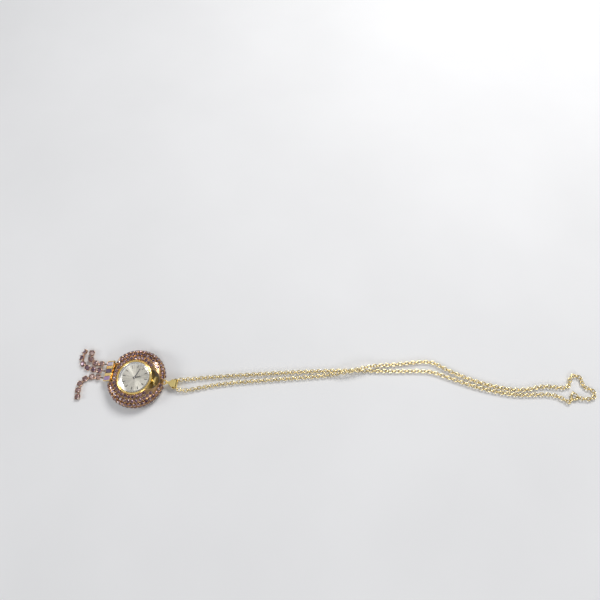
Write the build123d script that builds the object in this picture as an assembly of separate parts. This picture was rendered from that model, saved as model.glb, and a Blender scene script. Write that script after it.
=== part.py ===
from build123d import *
import math
import os

# A pendant watch lying face up. Millimetres, +Z up, the back rests on z = 0 at the origin,
# +X runs from the middle of the watch out through the crown and the bail.

# Shared fits
overrun = 0.5            # how far a cutting solid runs past what it cuts
pivot_play = 0.02        # between a pivot and its jewel
running_gap = 0.1        # between parts that turn past each other
snug_gap = 0.03          # between parts that are slid or snapped together

# Case, from the resting face up
back_thickness = 1.0
back_flat_radius = 10.2
back_spigot_height = 1.1
back_spigot_wall = 0.5
band_radius = 11.2
band_bore = 9.6
band_seat_radius = 10.35
dial_level = 6.4
dial_thickness = 0.4
rehaut_height = 0.7
rehaut_low_width = 1.9
rehaut_top_width = 0.45
flange_thickness = 0.4
crystal_radius = 9.9
crystal_wall = 0.8
crystal_wall_height = 0.8
crystal_dome_height = 1.3
bezel_radius = 11.5
bezel_height = 1.05
bezel_edge_height = 0.45
lip_thickness = 0.5
lip_width = 0.65

# Domed stone frame round the case
frame_rise = 4.2
frame_reach = 6.1
frame_wall = 0.5
frame_skirt = 1.5
frame_foot_width = 1.4
crescent_radius = 6.5
crescent_reach = 16.2

# Round stones in their claw cups, and the rows that they stand in
stone_radius = 1.12
stone_table_radius = 0.62
stone_crown = 0.46
stone_girdle = 0.06
stone_pavilion = 0.6
stone_sides = 8
culet_share = 0.1
cup_radius = 1.22
cup_wall = 0.07
cup_floor = 0.08
cup_height = 0.6
cup_lift = 0.02
claw_radius = 0.12
claw_height = 0.95
claws_per_cup = 4
row_counts = (32, 38, 42)
row_arc_degrees = (8.6, 34, 62)
rim_row_count = 44
rim_row_level = 2.95

# Hanger for the tassel, with three long stones
hanger_inset = 0.35
hanger_y = 2.1
hanger_level = 5.7
hanger_angle = 182
hanger_tilt = 36
hanger_length = 7.2
hanger_base = 0.4
hanger_height = 1.2
bay_width = 2.9
bay_length = 6.2
rail_width = 1.8
hanger_edge = 0.45
long_stone_height = 1.2
long_stone_bevel = 0.5
foot_radius = 0.45
foot_length = 1.9
foot_inset = 1.3

# Tassel strands of cup chain
strand_pitch = 4.35
strand_cup_radius = 1.85
strand_cup_wall = 0.14
strand_cup_height = 1.5
strand_claw_radius = 0.24
strand_claw_height = 2.06
strand_stone_radius = 1.66
strand_stone_pavilion = 0.9
strand_stone_girdle = 0.1
strand_stone_crown = 0.7
strand_bar_width = 0.9
strand_bar_thickness = 0.5
strand_bar_drop = 0.4
strand_first = 6.0

# Cable chain
wire_radius = 0.31
link_length = 3.5
link_width = 2.7
link_play = 0.06
corner_share = 0.45        # a corner's arc takes this much of its shorter run

# Bail and pendant loop
loop_wire = 0.4
loop_radius = 1.25
loop_centre = 19.0
loop_level = 3.6
fold_x = 24.9
fold_level = 2.25
fold_bore = 1.9
bail_wall = 0.3
eye_bore = 0.68
eye_wall = 0.32
pinch_bore = 0.45
pinch_distance = 2.3
bail_half_width = 2.4
eye_half_width = 0.7
bail_shoulder = 2.9
bail_neck = 1.9
bail_neck_half_width = 1.15
middle_link_x = 24.2
corner_link_degrees = 50

# Spring ring clasp
clasp_x = 285.6
clasp_y = 26.2
clasp_level = 1.45
clasp_radius = 2.1
clasp_tube = 0.62
clasp_bore = 0.42
bolt_radius = 0.36
mouth_start = 20
mouth_degrees = 62
bore_degrees = 100
bolt_overlap_degrees = 12
bolt_tail_degrees = 4
tab_setback_degrees = 22
clasp_travel_degrees = 42
spring_seat_degrees = 2
tab_radius = 0.3
tab_length = 0.75
lug_radius = 0.75
lug_wire = 0.28
tag_angle = -12
tag_distance = 2.38
lug_angle = 229
tag_ring_radius = 1.3
tag_ring_wire = 0.3
coil_radius = 0.25
coil_wire = 0.07
coil_turns = 4
coil_steps = 12

# Movement levels, from its back towards the dial
movement_low = 1.85
winding_wheel_thickness = 0.35
bridge_thickness = 0.6
train_space = 1.6
plate_thickness = 1.2
plate_wall = 0.42
recess_floor = 0.5
ring_thickness = 0.64
bridge_radius = 8.4
split_offset = -0.65
split_slope_share = -0.144
split_gap = 0.15
pillar_radius = 0.54
pillar_distance = 7.8
screw_head = 0.42
screw_head_height = 0.22
screw_shank = 0.24
screw_slot = 0.1
screw_depth = 0.8
screw_turn_degrees = 37
jewel_radius = 0.34
jewel_thickness = 0.25
pivot_radius = 0.08
arbor_radius = 0.16

# Going train: tooth counts and modules
barrel_teeth = 80
centre_pinion_teeth = 10
barrel_module = 0.0975
centre_teeth = 80
third_pinion_teeth = 10
centre_module = 0.075
third_teeth = 75
fourth_pinion_teeth = 10
third_module = 0.07
fourth_teeth = 80
escape_pinion_teeth = 8
fourth_module = 0.06
escape_teeth = 15
escape_radius = 1.6
escape_root_radius = 1.25
escape_rim = 0.16
escape_heel_share = 0.97
escape_lean_degrees = 5
pallet_distance = 1.95
train_wheel_thickness = 0.15
centre_level = 0.1
third_level = 0.4
fourth_level = 0.7
escape_level = 1.0
barrel_level = 0.45
barrel_height = 1.05
barrel_flange = 0.3
barrel_shell = 0.25
barrel_angle = 75
third_angle = 200
fourth_angle = 300
escape_angle = -50
pallet_angle = 21.3
pallet_spread = 38
pallet_arm = 0.12
pallet_hub = 0.25
pallet_bridge_thickness = 0.2
pallet_foot_distance = 2.4
pallet_foot_angle = -69
pallet_foot_radius = 0.5
balance_x = 4.0
balance_y = -4.2
balance_radius = 2.7
balance_rim = 0.35
balance_level = 0.3
balance_thickness = 0.3
balance_room = 0.15
cock_thickness = 0.45
cock_head_radius = 0.75
cock_foot_radius = 0.8
regulator_radius = 0.75
regulator_bore = 0.42
regulator_thickness = 0.2
regulator_length = 3.2
regulator_arm = 0.2
regulator_pin = 2.1
roller_radius = 0.65
roller_level = 0.6
roller_thickness = 0.3
impulse_pin_radius = 0.1
impulse_pin_distance = 0.45
hairspring_height = 0.12
hairspring_inner = 0.4
hairspring_step = 0.12
hairspring_strip = 0.05
hairspring_halves = 12
mainspring_inner = 1.0
mainspring_step = 0.16
mainspring_strip = 0.11
mainspring_halves = 13
arbor_core = 0.85

# Winding and setting
ratchet_teeth = 48
crown_wheel_teeth = 27
crown_wheel_x = 4.8
crown_wheel_y = 1.3
stem_radius = 0.4
stem_level = 3.55
stem_inner_x = 3.2
pinion_radius = 1.31
pinion_teeth = 18
pinion_room_start = 3.35
winding_pinion_start = 5.6
winding_pinion_length = 1.2
sliding_pinion_start = 3.95
sliding_pinion_length = 1.3
groove_depth = 0.45
groove_start = 0.75
groove_width = 0.45
stem_groove_x = 7.35
stem_groove_width = 0.5
stem_groove_core = 0.2
lever_x = 8.0
lever_y = 2.4
lever_peg_x = 7.6
lever_peg_y = 0.42
lever_thickness = 0.2
lever_half_width = 0.35
peg_radius = 0.16
yoke_x = 4.7
yoke_y = 3.6
yoke_peg_x = 4.93
yoke_peg_y = 1.2
setting_teeth = 22
motion_module = 0.09
minute_teeth = 36
cannon_teeth = 12
hour_teeth = 40
minute_pinion_teeth = 10
minute_angle = -49.9
setting_angle = 51.9
setting_drop = 0.1
motion_wheel_thickness = 0.2
setting_height = 0.3
cannon_radius = 0.4
cannon_top = 7.35
hour_tube_radius = 0.62
hour_tube_top = 7.1
hour_wheel_gap = 0.35
click_angle = 185
click_length = 1.5
click_radius = 0.4
click_nose_radius = 0.14
click_leaf = 0.1
click_spring_degrees = 45
click_spring_reach = 0.5
crown_pull = 0.8
sliding_shift = 0.5
crown_wheel_boss = 0.5
crown_wheel_head = 0.75
arbor_shaft = 0.45
arbor_head = 0.75
arbor_foot = 0.3
arbor_foot_length = 0.35
post_radius = 0.2
crown_radius = 2.9
crown_chamfer = 0.25
crown_start = 12.0
crown_length = 1.7
crown_flutes = 32
crown_flute_radius = 0.16
crown_recess_radius = 1.15
crown_recess = 0.7
tube_radius = 0.95
tube_bore = 0.46
tube_reach = 0.7

# Dial, markers and hands
dial_radius = 9.5
marker_outer = 7.9
marker_length = 1.8
marker_width = 0.42
marker_height = 0.12
hour_hand_length = 4.3
hour_hand_width = 0.62
minute_hand_length = 6.7
minute_hand_width = 0.5
hand_thickness = 0.12
hand_tail = 1.3
hand_hub_radius = 0.75
hand_tip_share = 0.12
hand_waist_share = 0.45
dial_twelve = 178
hour_shown = 5
minute_shown = 18

# Route of each strand of chain, from the bail to the clasp
upper_route = [
    (25.61, 2.79, 2.25), (32.6, 4.0, 1.75), (42.0, 6.4, 1.37), (60.0, 10.2, 1.37),
    (90.0, 16.0, 1.37), (121.0, 21.6, 1.37), (144.0, 24.9, 1.37), (167.0, 27.3, 1.37),
    (191.5, 31.0, 1.37), (201.5, 28.5, 1.37), (211.5, 26.2, 1.37), (224.0, 23.7, 1.37),
    (236.5, 22.4, 1.37), (248.5, 22.2, 1.37), (259.0, 23.9, 1.37), (269.0, 25.5, 1.37),
    (276.0, 24.9, 1.37), (282.11, 21.68, 1.63)]
lower_route = [
    (25.61, -2.79, 2.25), (30.6, -3.9, 1.9), (36.5, -2.3, 1.5), (44.0, 0.6, 1.37),
    (60.0, 5.4, 1.37), (88.0, 11.3, 1.37), (112.0, 16.2, 1.37), (127.0, 19.6, 1.37),
    (136.5, 22.2, 4.3), (150.5, 27.8, 4.3), (160.5, 30.6, 1.37), (175.5, 33.8, 1.37), (191.5, 37.8, 1.37),
    (201.5, 33.6, 1.37), (211.5, 30.3, 1.37), (224.5, 27.2, 1.37), (237.0, 25.6, 1.37),
    (248.5, 25.4, 1.37), (257.0, 27.2, 1.37), (264.0, 29.9, 1.37), (271.0, 30.9, 1.37),
    (277.0, 30.6, 1.37), (283.2, 32.0, 1.37), (283.6, 40.2, 1.37), (291.2, 40.4, 1.37),
    (291.4, 32.6, 1.37), (299.0, 32.6, 1.37), (298.6, 24.9, 1.37), (288.93, 25.49, 1.63)]

# Route of each tassel strand, and how far it is rolled at its start and its end
strand_routes = {
    "tassel_strand_left": [
        (-20.95, -2.6, 4.05), (-23.9, -2.4, 2.4), (-27.0, -2.0, 1.36), (-31.2, -2.4, 1.25),
        (-35.4, -4.3, 1.25), (-37.5, -8.4, 1.25), (-36.9, -13.2, 1.25), (-35.2, -19.5, 1.25)],
    "tassel_strand_middle": [
        (-20.95, 2.1, 4.05), (-23.8, 2.2, 2.7), (-27.2, 2.3, 1.6), (-31.4, 2.5, 1.6), (-35.9, 3.1, 1.75),
        (-39.6, 5.6, 1.95), (-41.0, 9.6, 2.15), (-39.8, 13.9, 2.25), (-38.6, 16.6, 2.25)],
    "tassel_strand_right": [
        (-20.95, 6.8, 4.05), (-23.8, 6.9, 2.7), (-26.8, 6.9, 1.5), (-31.0, 6.7, 1.45), (-34.4, 8.3, 1.65),
        (-35.2, 11.6, 1.85), (-35.0, 15.6, 1.95)]}
strand_rolls = {
    "tassel_strand_left": (0, 0), "tassel_strand_middle": (0, 38), "tassel_strand_right": (0, -20)}

# Levels worked out from the thicknesses above
bridge_low = movement_low + winding_wheel_thickness + running_gap
bridge_high = bridge_low + bridge_thickness
plate_low = bridge_high + train_space
plate_high = plate_low + plate_thickness
dial_high = dial_level + dial_thickness
rehaut_high = dial_high + rehaut_height
flange_high = rehaut_high + flange_thickness
frame_centre = flange_high - frame_rise
frame_inner = band_radius + snug_gap
frame_lip_outer = band_radius + lip_width
frame_radius = frame_lip_outer + frame_reach
hanger_x = hanger_inset - frame_radius
plate_radius = band_bore - ring_thickness - 2 * snug_gap


def drum(radius, low, high, x=0, y=0):
    return Pos(x, y, low) * Cylinder(radius, high - low, align=(Align.CENTER, Align.CENTER, Align.MIN))


def tube(outer, inner, low, high, x=0, y=0):
    return drum(outer, low, high, x, y) - drum(inner, low - overrun, high + overrun, x, y)


def rod(radius, start, end, y=0, z=stem_level):
    # A cylinder along X
    return Pos(start, y, z) * Rot(0, 90, 0) * Cylinder(
        radius, end - start, align=(Align.CENTER, Align.CENTER, Align.MIN))


def block(x0, x1, y0, y1, z0, z1):
    return Pos((x0 + x1) / 2, (y0 + y1) / 2, (z0 + z1) / 2) * Box(x1 - x0, y1 - y0, z1 - z0)


def spun(*edges):
    return revolve(Plane.XZ * make_face(edges), Axis.Z)


def spun_outline(points):
    return spun(*Polyline(*points, close=True).edges())


def bar(p, q, radius_p, radius_q, low, high):
    # A flat bar with round ends, seen from above
    rounds = (Pos(*p) * Circle(radius_p)).edges() + (Pos(*q) * Circle(radius_q)).edges()
    return Pos(0, 0, low) * extrude(make_hull(rounds), high - low)


def polar(distance, degrees, x=0, y=0):
    turn = math.radians(degrees)
    return x + distance * math.cos(turn), y + distance * math.sin(turn)


def write(name, *solids):
    pieces = [solid for shape in solids for solid in shape.solids()]
    export_step(Compound(children=pieces) if len(pieces) > 1 else pieces[0], f"parts/{name}.step")
    return pieces


# Toothed wheels
root_share = 1.25
tip_share = 1.0
root_half_share = 0.31
tip_half_share = 0.13
window_share = 0.85


def toothed(teeth, module, low, high, x, y, turn):
    # Straight-sided teeth; one tooth points to the angle turn
    pitch = module * teeth / 2
    step = 2 * math.pi / teeth
    points = []
    for tooth in range(teeth):
        middle = math.radians(turn) + tooth * step
        for radius, share in (
            (pitch - root_share * module, -root_half_share),
            (pitch + tip_share * module, -tip_half_share),
            (pitch + tip_share * module, tip_half_share),
            (pitch - root_share * module, root_half_share),
        ):
            angle = middle + share * step
            points.append((radius * math.cos(angle), radius * math.sin(angle)))
    outline = make_face(Polyline(*points, close=True).edges())
    return Pos(x, y, low) * extrude(outline, high - low)


def meshing_turn(turn, teeth, place, other_teeth, other_place):
    # The turn that puts a gap of the other wheel opposite this wheel's tooth
    line = math.degrees(math.atan2(other_place[1] - place[1], other_place[0] - place[0]))
    return line + 180 - (turn - line) * teeth / other_teeth - 180 / other_teeth


def pinion_on_wheel(place, wheel, pinion, turns, levels):
    # A wheel and its pinion on one arbor, with a pivot at each end
    wheel_teeth, wheel_module = wheel
    pinion_teeth_here, pinion_module = pinion
    wheel_turn, pinion_turn = turns
    wheel_low, pinion_low, pinion_high = levels
    x, y = place
    wheel_high = wheel_low + train_wheel_thickness
    body = toothed(wheel_teeth, wheel_module, wheel_low, wheel_high, x, y, wheel_turn)
    rim = wheel_module * wheel_teeth / 2 - (root_share + tip_share + tip_share) * wheel_module
    hub = pinion_module * (pinion_teeth_here / 2 + tip_share + tip_share)
    window = window_share * (rim - hub) / 2
    for spoke in range(5):
        cx, cy = polar((rim + hub) / 2, wheel_turn + 72 * spoke, x, y)
        body -= drum(window, wheel_low - overrun, wheel_high + overrun, cx, cy)
    body += toothed(pinion_teeth_here, pinion_module, pinion_low, pinion_high, x, y, pinion_turn)
    body += drum(arbor_radius, bridge_high + snug_gap, plate_low - snug_gap, x, y)
    body += drum(pivot_radius, bridge_high - jewel_thickness + snug_gap,
                 plate_low + jewel_thickness - snug_gap, x, y)
    return body


def coil_strip(inner, step, strip, halves, low, high, x, y):
    # A flat spiral spring made of half rings whose centres alternate
    flat = None
    for half in range(halves):
        radius = inner + half * step
        shift = step if half % 2 else 0
        piece = Circle(radius + strip / 2) - Circle(radius - strip / 2)
        side = -1 if half % 2 else 1
        reach = radius + strip
        piece = Pos(shift, 0) * (piece & Pos(0, side * reach / 2) * Rectangle(2 * reach, reach))
        flat = piece if flat is None else flat + piece
    return Pos(x, y, low) * extrude(flat, high - low)


# Case
def make_case_back():
    spigot_outer = band_bore - snug_gap
    spigot_inner = spigot_outer - back_spigot_wall
    spigot_top = back_thickness + back_spigot_height
    return spun_outline([
        (0, 0), (back_flat_radius, 0), (band_radius, back_thickness / 2), (band_radius, back_thickness),
        (spigot_outer, back_thickness), (spigot_outer, spigot_top), (spigot_inner, spigot_top),
        (spigot_inner, back_thickness), (0, back_thickness)])


def make_case_band():
    shoulder = flange_high - lip_thickness
    body = spun_outline([
        (band_bore, back_thickness), (band_radius, back_thickness),
        (band_radius, shoulder - lip_thickness), (frame_lip_outer, shoulder - lip_thickness / 2),
        (frame_lip_outer, shoulder), (band_radius, shoulder), (band_radius, flange_high),
        (band_seat_radius, flange_high), (band_seat_radius, dial_high), (band_bore, dial_high)])
    room = crescent_cut()
    shoulder_room = room - drum(band_radius, back_thickness - overrun, flange_high + overrun)
    return body - shoulder_room - rod(tube_radius, band_bore - overrun, band_radius + overrun)


def crescent_cut():
    return drum(crescent_radius, -overrun, flange_high + bezel_height, crescent_reach - crescent_radius)


def make_bezel():
    inner = crystal_radius + snug_gap
    rise = flange_high + bezel_height
    edges = [
        Line((inner, flange_high), (inner, rise - bezel_edge_height)),
        ThreePointArc(
            (inner, rise - bezel_edge_height), ((inner + bezel_radius) / 2, rise),
            (bezel_radius, flange_high + bezel_edge_height)),
        Line((bezel_radius, flange_high + bezel_edge_height), (bezel_radius, flange_high)),
        Line((bezel_radius, flange_high), (inner, flange_high))]
    return spun(*[edge for line in edges for edge in line.edges()])


def make_crystal():
    top = flange_high + crystal_wall_height
    crest = top + crystal_dome_height
    foot = band_seat_radius - snug_gap
    outer_dome = dome_arc((crystal_radius, top), (0, crest))
    inner_radius = crystal_radius - crystal_wall
    inner_dome = dome_arc((inner_radius, top), (0, crest - crystal_wall))
    edges = [
        Line((inner_radius, rehaut_high), (foot, rehaut_high)),
        Line((foot, rehaut_high), (foot, flange_high)),
        Line((foot, flange_high), (crystal_radius, flange_high)),
        Line((crystal_radius, flange_high), (crystal_radius, top)),
        outer_dome,
        Line((0, crest), (0, crest - crystal_wall)),
        inner_dome,
        Line((inner_radius, top), (inner_radius, rehaut_high))]
    return spun(*[edge for line in edges for edge in line.edges()])


def dome_arc(edge_point, crest_point):
    # An arc from a point beside the axis up to the crest, level at the crest
    width = edge_point[0]
    rise = crest_point[1] - edge_point[1]
    radius = (width * width + rise * rise) / (2 * rise)
    half = math.asin(width / radius) / 2
    middle = (radius * math.sin(half), crest_point[1] - radius * (1 - math.cos(half)))
    return ThreePointArc(edge_point, middle, crest_point)


def make_rehaut():
    outer = band_seat_radius - snug_gap
    return spun_outline([
        (outer - rehaut_low_width, dial_high), (outer, dial_high),
        (outer, rehaut_high), (outer - rehaut_top_width, rehaut_high)])


def make_dial():
    plate = drum(dial_radius, dial_level, dial_high)
    plate -= drum(hour_tube_radius + running_gap, dial_level - overrun, dial_high + overrun)
    markers = []
    for hour in range(12):
        marker = Pos(marker_outer - marker_length / 2, 0, dial_high + marker_height / 2) * Box(
            marker_length, marker_width, marker_height)
        markers.append(Rot(0, 0, dial_twelve + 30 * hour) * marker)
    return plate, markers


def make_movement_ring():
    inner = plate_radius + snug_gap
    ring = tube(band_bore - snug_gap, inner, back_thickness + back_spigot_height + running_gap, dial_level)
    return ring - rod(tube_radius, inner - overrun, band_bore + overrun)


# Stone frame and its stones
def make_stone_frame():
    centre = (frame_lip_outer, frame_centre)
    foot = frame_centre - frame_skirt
    edges = [
        EllipticalCenterArc(centre, frame_reach, frame_rise, start_angle=0, arc_size=90),
        Line((frame_lip_outer, flange_high), (frame_inner, flange_high)),
        Line((frame_inner, flange_high), (frame_inner, flange_high - lip_thickness)),
        Line((frame_inner, flange_high - lip_thickness), (frame_lip_outer, flange_high - lip_thickness)),
        EllipticalCenterArc(
            centre, frame_reach - frame_wall, frame_rise - lip_thickness, start_angle=0, arc_size=90),
        Polyline(
            (frame_radius - frame_wall, frame_centre), (frame_radius - frame_wall, foot + frame_wall),
            (frame_radius - frame_foot_width, foot + frame_wall), (frame_radius - frame_foot_width, foot),
            (frame_radius, foot), (frame_radius, frame_centre))]
    shell = spun(*[edge for line in edges for edge in line.edges()])
    return shell - crescent_cut() - hanger_feet()


def frame_seat(arc_degrees):
    # Radius, height and outward slope of the frame's skin at an arc position from its top
    arc = math.radians(arc_degrees)
    radius = frame_lip_outer + frame_reach * math.sin(arc)
    level = frame_centre + frame_rise * math.cos(arc)
    slope = math.degrees(math.atan2(math.sin(arc) / frame_reach, math.cos(arc) / frame_rise))
    return radius, level, slope


def stone_seats():
    # Every place on the frame that holds a stone: (upper or rim, location)
    seats = []
    gap_x = crescent_reach - crescent_radius
    hanger_half = hanger_width() / 2 + cup_radius
    hanger_plan_half = hanger_length / 2 * math.cos(math.radians(hanger_tilt)) + cup_radius
    rows = [(count, frame_seat(arc), "upper") for count, arc in zip(row_counts, row_arc_degrees)]
    rows.append((rim_row_count, (frame_radius, rim_row_level, 90), "rim"))
    for number, (count, (radius, level, slope), kind) in enumerate(rows):
        for place in range(count):
            angle = 360 * (place + (0.5 if number % 2 else 0)) / count
            x, y = polar(radius, angle)
            near_gap = math.hypot(x - gap_x, y) < crescent_radius + cup_radius
            across, out = hanger_offsets(x, y)
            near_hanger = abs(across) < hanger_half and abs(out) < hanger_plan_half
            near_loop = kind == "rim" and x > 0 and abs(y) < cup_radius + loop_radius
            if (near_gap and kind == "upper") or near_hanger or near_loop:
                continue
            seats.append((kind, Pos(x, y, level) * Rot(0, 0, angle) * Rot(0, slope, 0) * Pos(0, 0, cup_lift)))
    return seats


def hanger_offsets(x, y):
    # How far a place lies across and out from the hanger's middle
    turn = math.radians(hanger_angle)
    right, up = x - hanger_x, y - hanger_y
    out = right * math.cos(turn) + up * math.sin(turn)
    across = up * math.cos(turn) - right * math.sin(turn)
    return across, out


def make_stone(radius, table, crown, girdle, pavilion, base):
    # A faceted chaton: table, crown facets, girdle and a pavilion drawn to a small culet
    culet = table * culet_share
    levels = [
        (culet, base), (radius, base + pavilion), (radius, base + pavilion + girdle),
        (table, base + pavilion + girdle + crown)]
    return loft([Pos(0, 0, level) * RegularPolygon(size, stone_sides) for size, level in levels], ruled=True)


def make_claw_cup(radius, wall, floor, height, claw, claw_top):
    cup = drum(radius, 0, height) - drum(radius - wall, floor, height + overrun)
    for number in range(claws_per_cup):
        x, y = polar(radius - wall + claw, 45 + 360 * number / claws_per_cup)
        cup += drum(claw, 0, claw_top, x, y)
        cup += Pos(x, y, claw_top) * Sphere(claw)
    return cup


# Tassel hanger
def hanger_width():
    return 3 * bay_width + 2 * rail_width + 2 * hanger_edge


def hanger_place():
    return Pos(hanger_x, hanger_y, hanger_level) * Rot(0, 0, hanger_angle) * Rot(0, hanger_tilt, 0)


def bay_offsets():
    return [(bay_width + rail_width) * number for number in (-1, 0, 1)]


def make_hanger():
    half_length, half_width = hanger_length / 2, hanger_width() / 2
    body = block(-half_length, half_length, -half_width, half_width, 0, hanger_height)
    for offset in bay_offsets():
        body -= block(
            -bay_length / 2, bay_length / 2, offset - bay_width / 2, offset + bay_width / 2,
            hanger_base, hanger_height + overrun)
    return hanger_place() * body + hanger_feet()


def hanger_feet():
    half_length, half_width = hanger_length / 2, hanger_width() / 2
    feet = []
    for side in (-1, 1):
        place = Pos(-half_length + foot_inset, side * (half_width - foot_inset), -foot_length / 2)
        feet.append(hanger_place() * place * Cylinder(foot_radius, foot_length + hanger_base))
    return feet


def make_long_stones():
    stones = []
    length = bay_length - 2 * snug_gap
    width = bay_width - 2 * snug_gap
    for offset in bay_offsets():
        low = Pos(0, offset, hanger_base) * Rectangle(length, width)
        middle = Pos(0, offset, hanger_base + long_stone_height / 2) * Rectangle(length, width)
        top = Pos(0, offset, hanger_base + long_stone_height) * Rectangle(
            length - 2 * long_stone_bevel, width - 2 * long_stone_bevel)
        stones.append(hanger_place() * loft([low, middle, top], ruled=True))
    return stones


# Lines that chains follow
def corner_radii(points):
    radii = []
    for before, corner, after in zip(points, points[1:], points[2:]):
        first = Vector(*corner) - Vector(*before)
        second = Vector(*after) - Vector(*corner)
        half_turn = math.radians(first.get_angle(second)) / 2
        radii.append(corner_share * min(first.length, second.length) / math.tan(half_turn))
    return radii


def route_line(points):
    return FilletPolyline(*points, radius=corner_radii(points))


def at_length(line, length):
    return line.position_at(length, position_mode=PositionMode.LENGTH)


def chain_joints(line):
    # Joints that share the line out evenly, so that the last link lies flat
    count = math.ceil(line.length / link_pitch)
    count += count % 2
    return [at_length(line, line.length * number / count) for number in range(count + 1)]


def seat_frame(point, direction, roll):
    # A place on a line, its X along the line, turned about the line by roll
    along = direction.normalized()
    side = Vector(0, 0, 1).cross(along).normalized()
    up = along.cross(side)
    turn = math.radians(roll)
    normal = up * math.cos(turn) + side * math.sin(turn)
    return Plane(origin=point, x_dir=along, z_dir=normal).location


def link_frame(start, end, roll):
    return seat_frame((start + end) / 2, end - start, roll)


# Chain
link_pitch = link_length - 4 * wire_radius - link_play


def make_link():
    path = SlotOverall(link_length - 2 * wire_radius, link_width - 2 * wire_radius).wire()
    section = Plane(origin=path.position_at(0), z_dir=path.tangent_at(0)) * Circle(wire_radius)
    return sweep(section, path=path)


def chain_along(points, first_roll):
    line = route_line(points)
    joints = chain_joints(line)
    link = make_link()
    links = []
    for number, (start, end) in enumerate(zip(joints, joints[1:])):
        links.append(link_frame(start, end, first_roll + 90 * (number % 2)) * link)
    gaps = []
    reach = link_length - 2 * wire_radius - link_pitch
    for a, b, c in zip(joints, joints[1:], joints[2:]):
        bend = (b - a).get_angle(c - b)
        gaps.append(reach * math.cos(math.radians(bend) / 2) - 2 * wire_radius)
    return links, line, joints, min(gaps)


def make_bail_links():
    # The link in the bail's fold and the one at each side that turns the corner
    link = make_link()
    half = link_pitch / 2
    middle = link_frame(Vector(middle_link_x, -half, fold_level), Vector(middle_link_x, half, fold_level), 90)
    links = [middle * link]
    for side in (-1, 1):
        start = Vector(middle_link_x, side * half, fold_level)
        x, y = polar(link_pitch, corner_link_degrees, middle_link_x, half)
        links.append(link_frame(start, Vector(x, side * y, fold_level), 0) * link)
    return links


# Bail and pendant loop
eye_x = loop_centre + loop_radius


def make_pendant_loop():
    # A half ring on two straight legs that end on the frame's skin
    inner = frame_radius - overrun
    path = Wire([
        Edge.make_line((inner, -loop_radius), (loop_centre, -loop_radius)),
        Edge.make_circle(loop_radius, Plane(origin=(loop_centre, 0, 0)), -90, 90),
        Edge.make_line((loop_centre, loop_radius), (inner, loop_radius))])
    profile = Plane(origin=path @ 0, z_dir=path % 0) * Circle(loop_wire)
    loop = Pos(0, 0, loop_level) * sweep(profile, path=path)
    return loop - drum(frame_radius, -overrun, flange_high)


def make_bail():
    reach = math.hypot(fold_x - eye_x, loop_level - fold_level)
    tilt = math.degrees(math.atan2(loop_level - fold_level, fold_x - eye_x))
    fold = Pos(reach, 0)
    outer = make_hull((fold * Circle(fold_bore + bail_wall)).edges() + Circle(eye_bore + eye_wall).edges())
    pinch = Pos(pinch_distance, 0) * Circle(pinch_bore)
    hollow = make_hull((fold * Circle(fold_bore)).edges() + pinch.edges())
    side = outer - Circle(eye_bore) - hollow
    thick = Plane.XZ * extrude(side, bail_half_width, both=True)
    far = reach + fold_bore + bail_wall + overrun
    near = eye_bore + eye_wall + overrun
    plan = [
        (-near, eye_half_width), (eye_bore, eye_half_width), (bail_neck, bail_neck_half_width),
        (bail_shoulder, bail_half_width), (far, bail_half_width)]
    outline = plan + [(x, -y) for x, y in reversed(plan)]
    keep = extrude(make_face(Polyline(*outline, close=True).edges()), fold_bore + fold_bore, both=True)
    return Pos(eye_x, 0, loop_level) * Rot(0, tilt, 0) * (thick & keep)


# Clasp
mouth_end = mouth_start + mouth_degrees
tab_angle = mouth_end + tab_setback_degrees
bolt_end = tab_angle + bolt_tail_degrees
bore_end = mouth_end + bore_degrees


def arc_tube(section, start, end):
    # A section drawn round part of the clasp's ring; the section's X points outward
    path = CenterArc((0, 0, 0), clasp_radius, start, end - start)
    outward = Vector(*polar(1, start), 0)
    profile = Plane(origin=path @ 0, x_dir=outward, z_dir=path % 0) * section
    return Pos(clasp_x, clasp_y, clasp_level) * sweep(profile, path=path)


def on_clasp(angle, distance):
    return Pos(clasp_x, clasp_y, clasp_level) * Rot(0, 0, angle) * Pos(distance, 0, 0)


lug_distance = clasp_radius + clasp_tube + lug_radius - lug_wire


def make_clasp_ring():
    ring = arc_tube(Circle(clasp_tube), mouth_end, mouth_start + 360)
    ring -= arc_tube(Circle(clasp_bore), mouth_end - bolt_tail_degrees, bore_end)
    ring -= arc_tube(Circle(clasp_bore), mouth_start - bolt_overlap_degrees, mouth_start + bolt_tail_degrees)
    slot = Pos(clasp_tube, 0) * Rectangle(clasp_tube + clasp_tube, 2 * (tab_radius + snug_gap))
    tab_half_degrees = math.degrees((tab_radius + running_gap) / clasp_radius)
    ring -= arc_tube(slot, tab_angle - tab_half_degrees, tab_angle + clasp_travel_degrees + tab_half_degrees)
    ring += on_clasp(lug_angle, lug_distance) * Torus(lug_radius, lug_wire)
    return ring


def make_clasp_bolt():
    bolt = arc_tube(Circle(bolt_radius), mouth_start - bolt_overlap_degrees / 2, bolt_end)
    reach = clasp_tube + tab_length
    tab = on_clasp(tab_angle, clasp_radius + reach / 2) * Rot(0, 90, 0) * Cylinder(tab_radius, reach)
    return bolt + tab + on_clasp(tab_angle, clasp_radius + reach) * Sphere(tab_radius)


def upright_ring(distance, angle):
    # A round ring standing on edge, with the direction angle in its own plane
    x, y = polar(distance, angle, clasp_x, clasp_y)
    level = tag_ring_radius + tag_ring_wire + snug_gap
    return Pos(x, y, level) * Rot(0, 0, angle) * Rot(90, 0, 0) * Torus(tag_ring_radius, tag_ring_wire)


def make_clasp_rings():
    return [upright_ring(tag_distance, tag_angle), upright_ring(lug_distance + tag_ring_radius, lug_angle)]


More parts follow.
